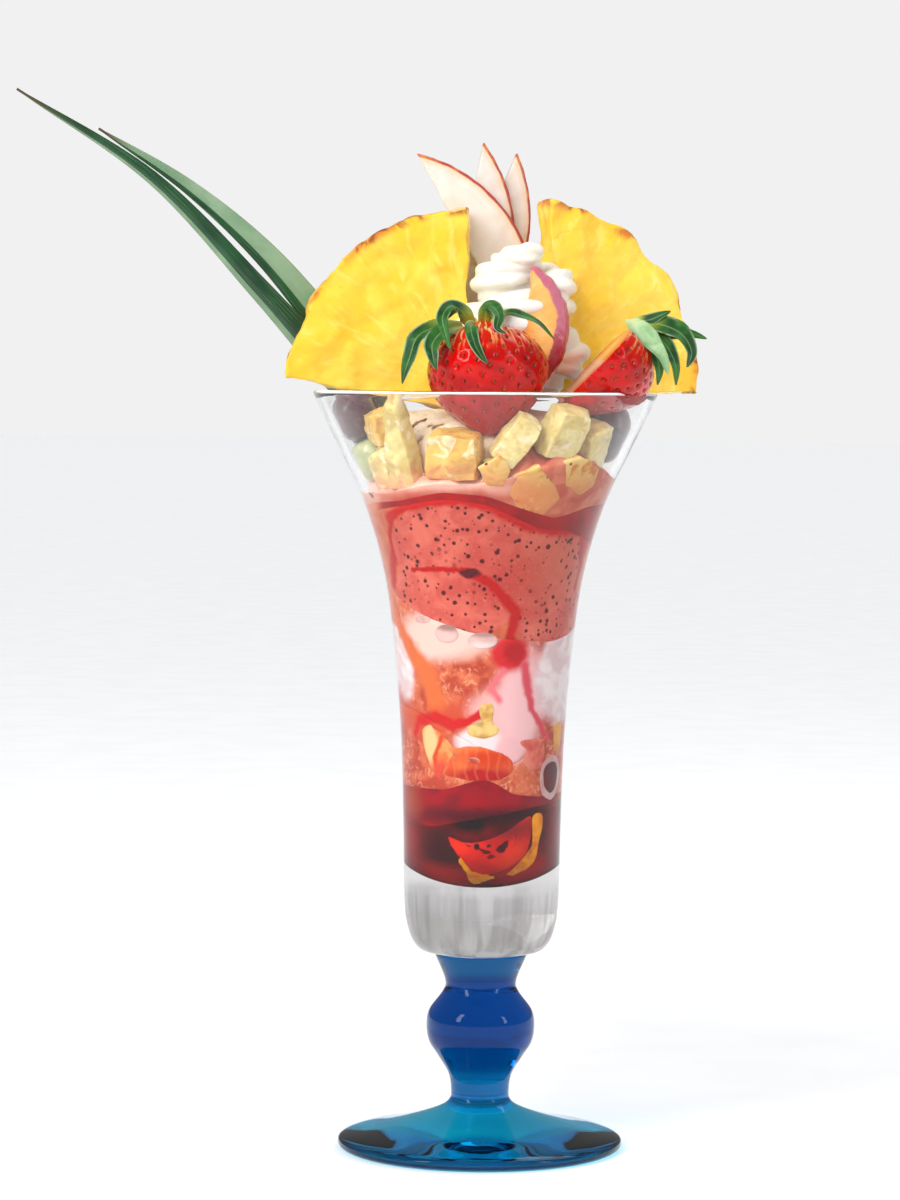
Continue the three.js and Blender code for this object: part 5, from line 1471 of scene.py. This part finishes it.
pale_leaflet = blade("strawberry_half_pale_leaflet", *half_leaflets[0], fold=0.25, thick=0.45, cells=10,
    ripple=0.15, base=0.6)
dress(whole_star, calyx_green, "calyx_green", "strawberry_whole_calyx")
dress(half_star, calyx_green, "calyx_green", "strawberry_half_calyx")
dress(pale_leaflet, pale_green, "calyx_green")

# %% [markdown]
# ## Whipped cream
#
# Cream from a star nozzle is a rope with ridges. It winds up in a spiral and sinks into itself where
# its turns meet. So we make exactly that: a rope with a star-shaped section, wound in two and a half
# turns that get smaller, on a soft core. Remeshing then melts the rope and the core into one skin, and
# leaves the creases between the turns sharp.

# %% The piped swirl
ROPE_STEPS, ROPE_AROUND = 220, 42


def star_rope(name, turns, foot, top, wide, thick, ridges=6, sway=(0.0, 0.0)):
    """A rope with a star-shaped section on a spiral that gets smaller from its foot to its top."""
    points, centre = [], []
    for k in range(ROPE_STEPS + 1):
        t = k / ROPE_STEPS
        angle = -1.1 + TAU * turns * t
        radius = wide * (1 - t) ** 0.42
        centre.append(np.array([radius * math.cos(angle) + sway[0] * t, radius * math.sin(angle) + sway[1] * t,
            foot + (top - foot) * t ** 0.92]))
    for k, middle in enumerate(centre):
        t = k / ROPE_STEPS
        forward = Vector(centre[min(k + 1, ROPE_STEPS)] - centre[max(k - 1, 0)]).normalized()
        out = forward.cross(Vector((0, 0, 1)))
        out = out.normalized() if out.length > 0.05 else Vector((1, 0, 0))
        up = out.cross(forward).normalized()
        size = thick * (1 - 0.42 * t) * min(1.0, 0.3 + 9 * t) * min(1.0, 0.05 + 5 * (1 - t))
        for j in range(ROPE_AROUND):
            a = TAU * j / ROPE_AROUND
            ridge = abs(math.sin((ridges * a + 5.0 * TAU * t) / 2))
            wave = 0.05 * noise.noise(Vector((3 * math.cos(a), 3 * math.sin(a), 14 * t)))
            r = size * (0.74 + 0.34 * ridge ** 0.8 + wave)
            points.append(tuple(Vector(middle) + out * (r * math.cos(a)) + up * (r * math.sin(a))))
    ends = [tuple(range(ROPE_AROUND)), tuple(range(ROPE_STEPS * ROPE_AROUND, len(points)))[::-1]]
    return mesh_piece(name, points, band_faces(ROPE_STEPS, ROPE_AROUND) + ends)


CORE_LINE = [(0, 197.0), (9, 197.5), (12.5, 201), (13, 208), (11.5, 216), (9, 224), (5, 231), (0, 235)]
core = mesh_piece("cream_core", *turned_points(CORE_LINE, 48))
rope = star_rope("cream_rope", 2.3, 207.0, 236.0, 12.2, 7.6, sway=(0.5, 0.0))
lip = star_rope("cream_lip", 1.15, 226.0, 238.0, 9.4, 4.8, sway=(1.5, -1.5), ridges=5)
lip.data.transform(Matrix.Translation((2.0 * MM, -2.0 * MM, 0)))
swirl = joined("whipped_cream_swirl", [core, rope, lip])
swirl.data.transform(Matrix.Translation((8 * MM, 2.5 * MM, 0)))
remeshed(swirl, 0.4, 2)

whipped_cream, tree, shader = new_finish("whipped_cream", glow=0.3, reach=0.003, spread=(1.0, 0.85, 0.6))
cloud, fine = patches(tree, 120, 4, 0.8), patches(tree, 800, 4, 0.3)
feed(tones(cloud, (240, 238, 232), (230, 224, 206), 0.3, 0.7), shader)
feed(ramp(cloud, 0.3, 0.7, 0.3, 0.5), shader, "Roughness")
relief(shader, plus(fine, cloud), 0.25, 0.0006)
dress(swirl, whipped_cream, "whipped_cream", "whipped_cream")

# %% [markdown]
# ## Between the chunks
#
# The chunks don't stand in empty air. Melted ice cream has run down between them and white cream shows in
# places. The gaps between them are dark, and the finish paints that shade in a dark syrup red. One uneven
# mound behind the chunks, turned on the lathe and rumpled with noise, closes the view through the glass
# and gives all of that.

# %% The mound of cream and melt
def rumpled(angle, radius, height):
    n = noise.noise(Vector((2.2 * math.cos(angle), 2.2 * math.sin(angle), height * 0.16)))
    m = noise.noise(Vector((5.0 * math.cos(angle), 5.0 * math.sin(angle), height * 0.4 + 7)))
    return radius * (1 + 0.13 * n + 0.05 * m), height + 1.6 * n + 0.8 * m


MOUND_LINE = [(0, 167), (18, 167), (22, 168.5), (24.5, 172), (26.5, 177), (28.5, 183), (29, 187.5), (27.5, 191.5),
    (22, 194), (12, 195), (0, 195)]
mound = remeshed(mesh_piece("cream_between_chunks", *turned_points(MOUND_LINE, 140, rumpled)), 0.7)

cream_and_melt, tree, shader = new_finish("cream_and_melt", rough=0.35, shine=0.3, glow=0.3,
    reach=0.003, spread=(1.0, 0.5, 0.3))
cloud, fine = patches(tree, 90, 4, 1.2), patches(tree, 420, 4, 0.6)
x, y, z = axes(tree)
to_right = ramp(maths("MULTIPLY_ADD", cloud, 0.02, x), 0.0, 0.02)
low = ramp(maths("MULTIPLY_ADD", fine, 0.008, z), 0.192, 0.182)
# painted shade: the dark syrup-red patches are the shade in the gaps between the chunks
feed(paint(tones(cloud, (232, 222, 200), (224, 200, 160)), (times(to_right, 0.8), (222, 160, 118)),
    (times(low, 0.75), (212, 128, 98)), (ramp(fine, 0.58, 0.72, 0, 0.5), (196, 76, 60)),
    (ramp(cloud, 0.57, 0.63), (96, 20, 24))), shader)
relief(shader, plus(cloud, fine), 0.4, 0.001)
dress(mound, cream_and_melt, "vanilla_cream")

# %% [markdown]
# At the front right, three chunks press against the glass and are half drowned in the salmon melt. They
# are flat on the wall, like the pieces further down, so the same helper makes them.

# %% Iced chunks on the wall
def knife_cut(corners):
    """More points along each straight edge, so that the smooth line keeps the corners."""
    line = []
    for a, b in zip(corners, corners[1:] + corners[:1]):
        line += [(a[0] + (b[0] - a[0]) * s, a[1] + (b[1] - a[1]) * s) for s in (0.06, 0.35, 0.65, 0.94)]
    return line


iced_chunk, tree, shader = new_finish("iced_chunk", rough=0.35, shine=0.1, glow=0.3,
    reach=0.003, spread=(1.0, 0.6, 0.3))
cloud, fine = patches(tree, 210, 4, 1.0), patches(tree, 700, 4, 0.4)
drowned = ramp(maths("MULTIPLY_ADD", cloud, 0.018, axes(tree)["Z"]), 0.1905, 0.182)
feed(paint(tones(cloud, (230, 202, 130), (214, 166, 88)), (times(drowned, 0.7), (214, 118, 76)),
    (ramp(cloud, 0.58, 0.68, 0, 0.7), (206, 100, 66)),
    (place_group(tree, specks, Scale=520.0, Size=0.26, Share=0.3)["Mask"], (110, 24, 16)),
    (ramp(fine, 0.56, 0.75, 0, 0.4), (236, 196, 140))), shader)
relief(shader, fine, 0.3, 0.0005)
for name, middle, outline in (
        ("iced_chunk_middle", (10, 174.5), [(5, 179), (9.3, 181.9), (14.6, 175.6), (16.3, 172.7), (12.7, 167.6),
        (5.8, 170.1), (3.8, 174.3)]),
        ("iced_chunk_left", (1.6, 179.6), [(-1.2, 181.1), (2.6, 184.3), (4.6, 180.4), (3.6, 175.4), (0.2, 175.8)]),
        ("iced_chunk_right", (18.8, 178.6), [(13.4, 182.6), (16.9, 184.3), (23.4, 181.1), (24.2, 175.8),
        (20.6, 173), (15.6, 175.8)])):
    dress(pressed(name, middle, knife_cut(outline), reach=0.14, thick=4.0, steps=2, uneven=0.35), iced_chunk,
        "peach_flesh")

# %% [markdown]
# Last, the lip of the glass. A polished lip gathers the light of the room and shows as a thin pale line
# from every side. A very fine pale ring inside the lip paints that highlight.

# %% The pale line in the lip
GLEAM_TURNS, GLEAM_AROUND = 240, 8
gleam_points = [round_point(TAU * k / GLEAM_TURNS, 44.4 + 0.2 * math.cos(TAU * j / GLEAM_AROUND),
    199.4 + 0.22 * math.sin(TAU * j / GLEAM_AROUND)) for k in range(GLEAM_TURNS) for j in range(GLEAM_AROUND)]
gleam = mesh_piece("rim_gleam", gleam_points, [tuple(i % len(gleam_points) for i in face)
    for face in band_faces(GLEAM_TURNS, GLEAM_AROUND)])
# painted highlight: a pale ring stands in for the light that the polished lip gathers
rim_highlight_paint, tree, shader = new_finish("rim_highlight_paint", rough=0.4)
feed(tones(patches(tree, 60), (0.95, 0.95, 0.95, 1), (0.75, 0.75, 0.75, 1)), shader)
dress(gleam, rim_highlight_paint, "clear_glass")
print("pieces between the chunks: 4, and the line in the lip")

# %% [markdown]
#
# The dressed dessert has to stay inside the box of the CAD model. The last line prints the outer box
# of all the pieces that render, leaving out the floor.

# %% Print the box of the dressed dessert
low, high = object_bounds()
print("visual box:", [round(v, 4) for v in low], [round(v, 4) for v in high])
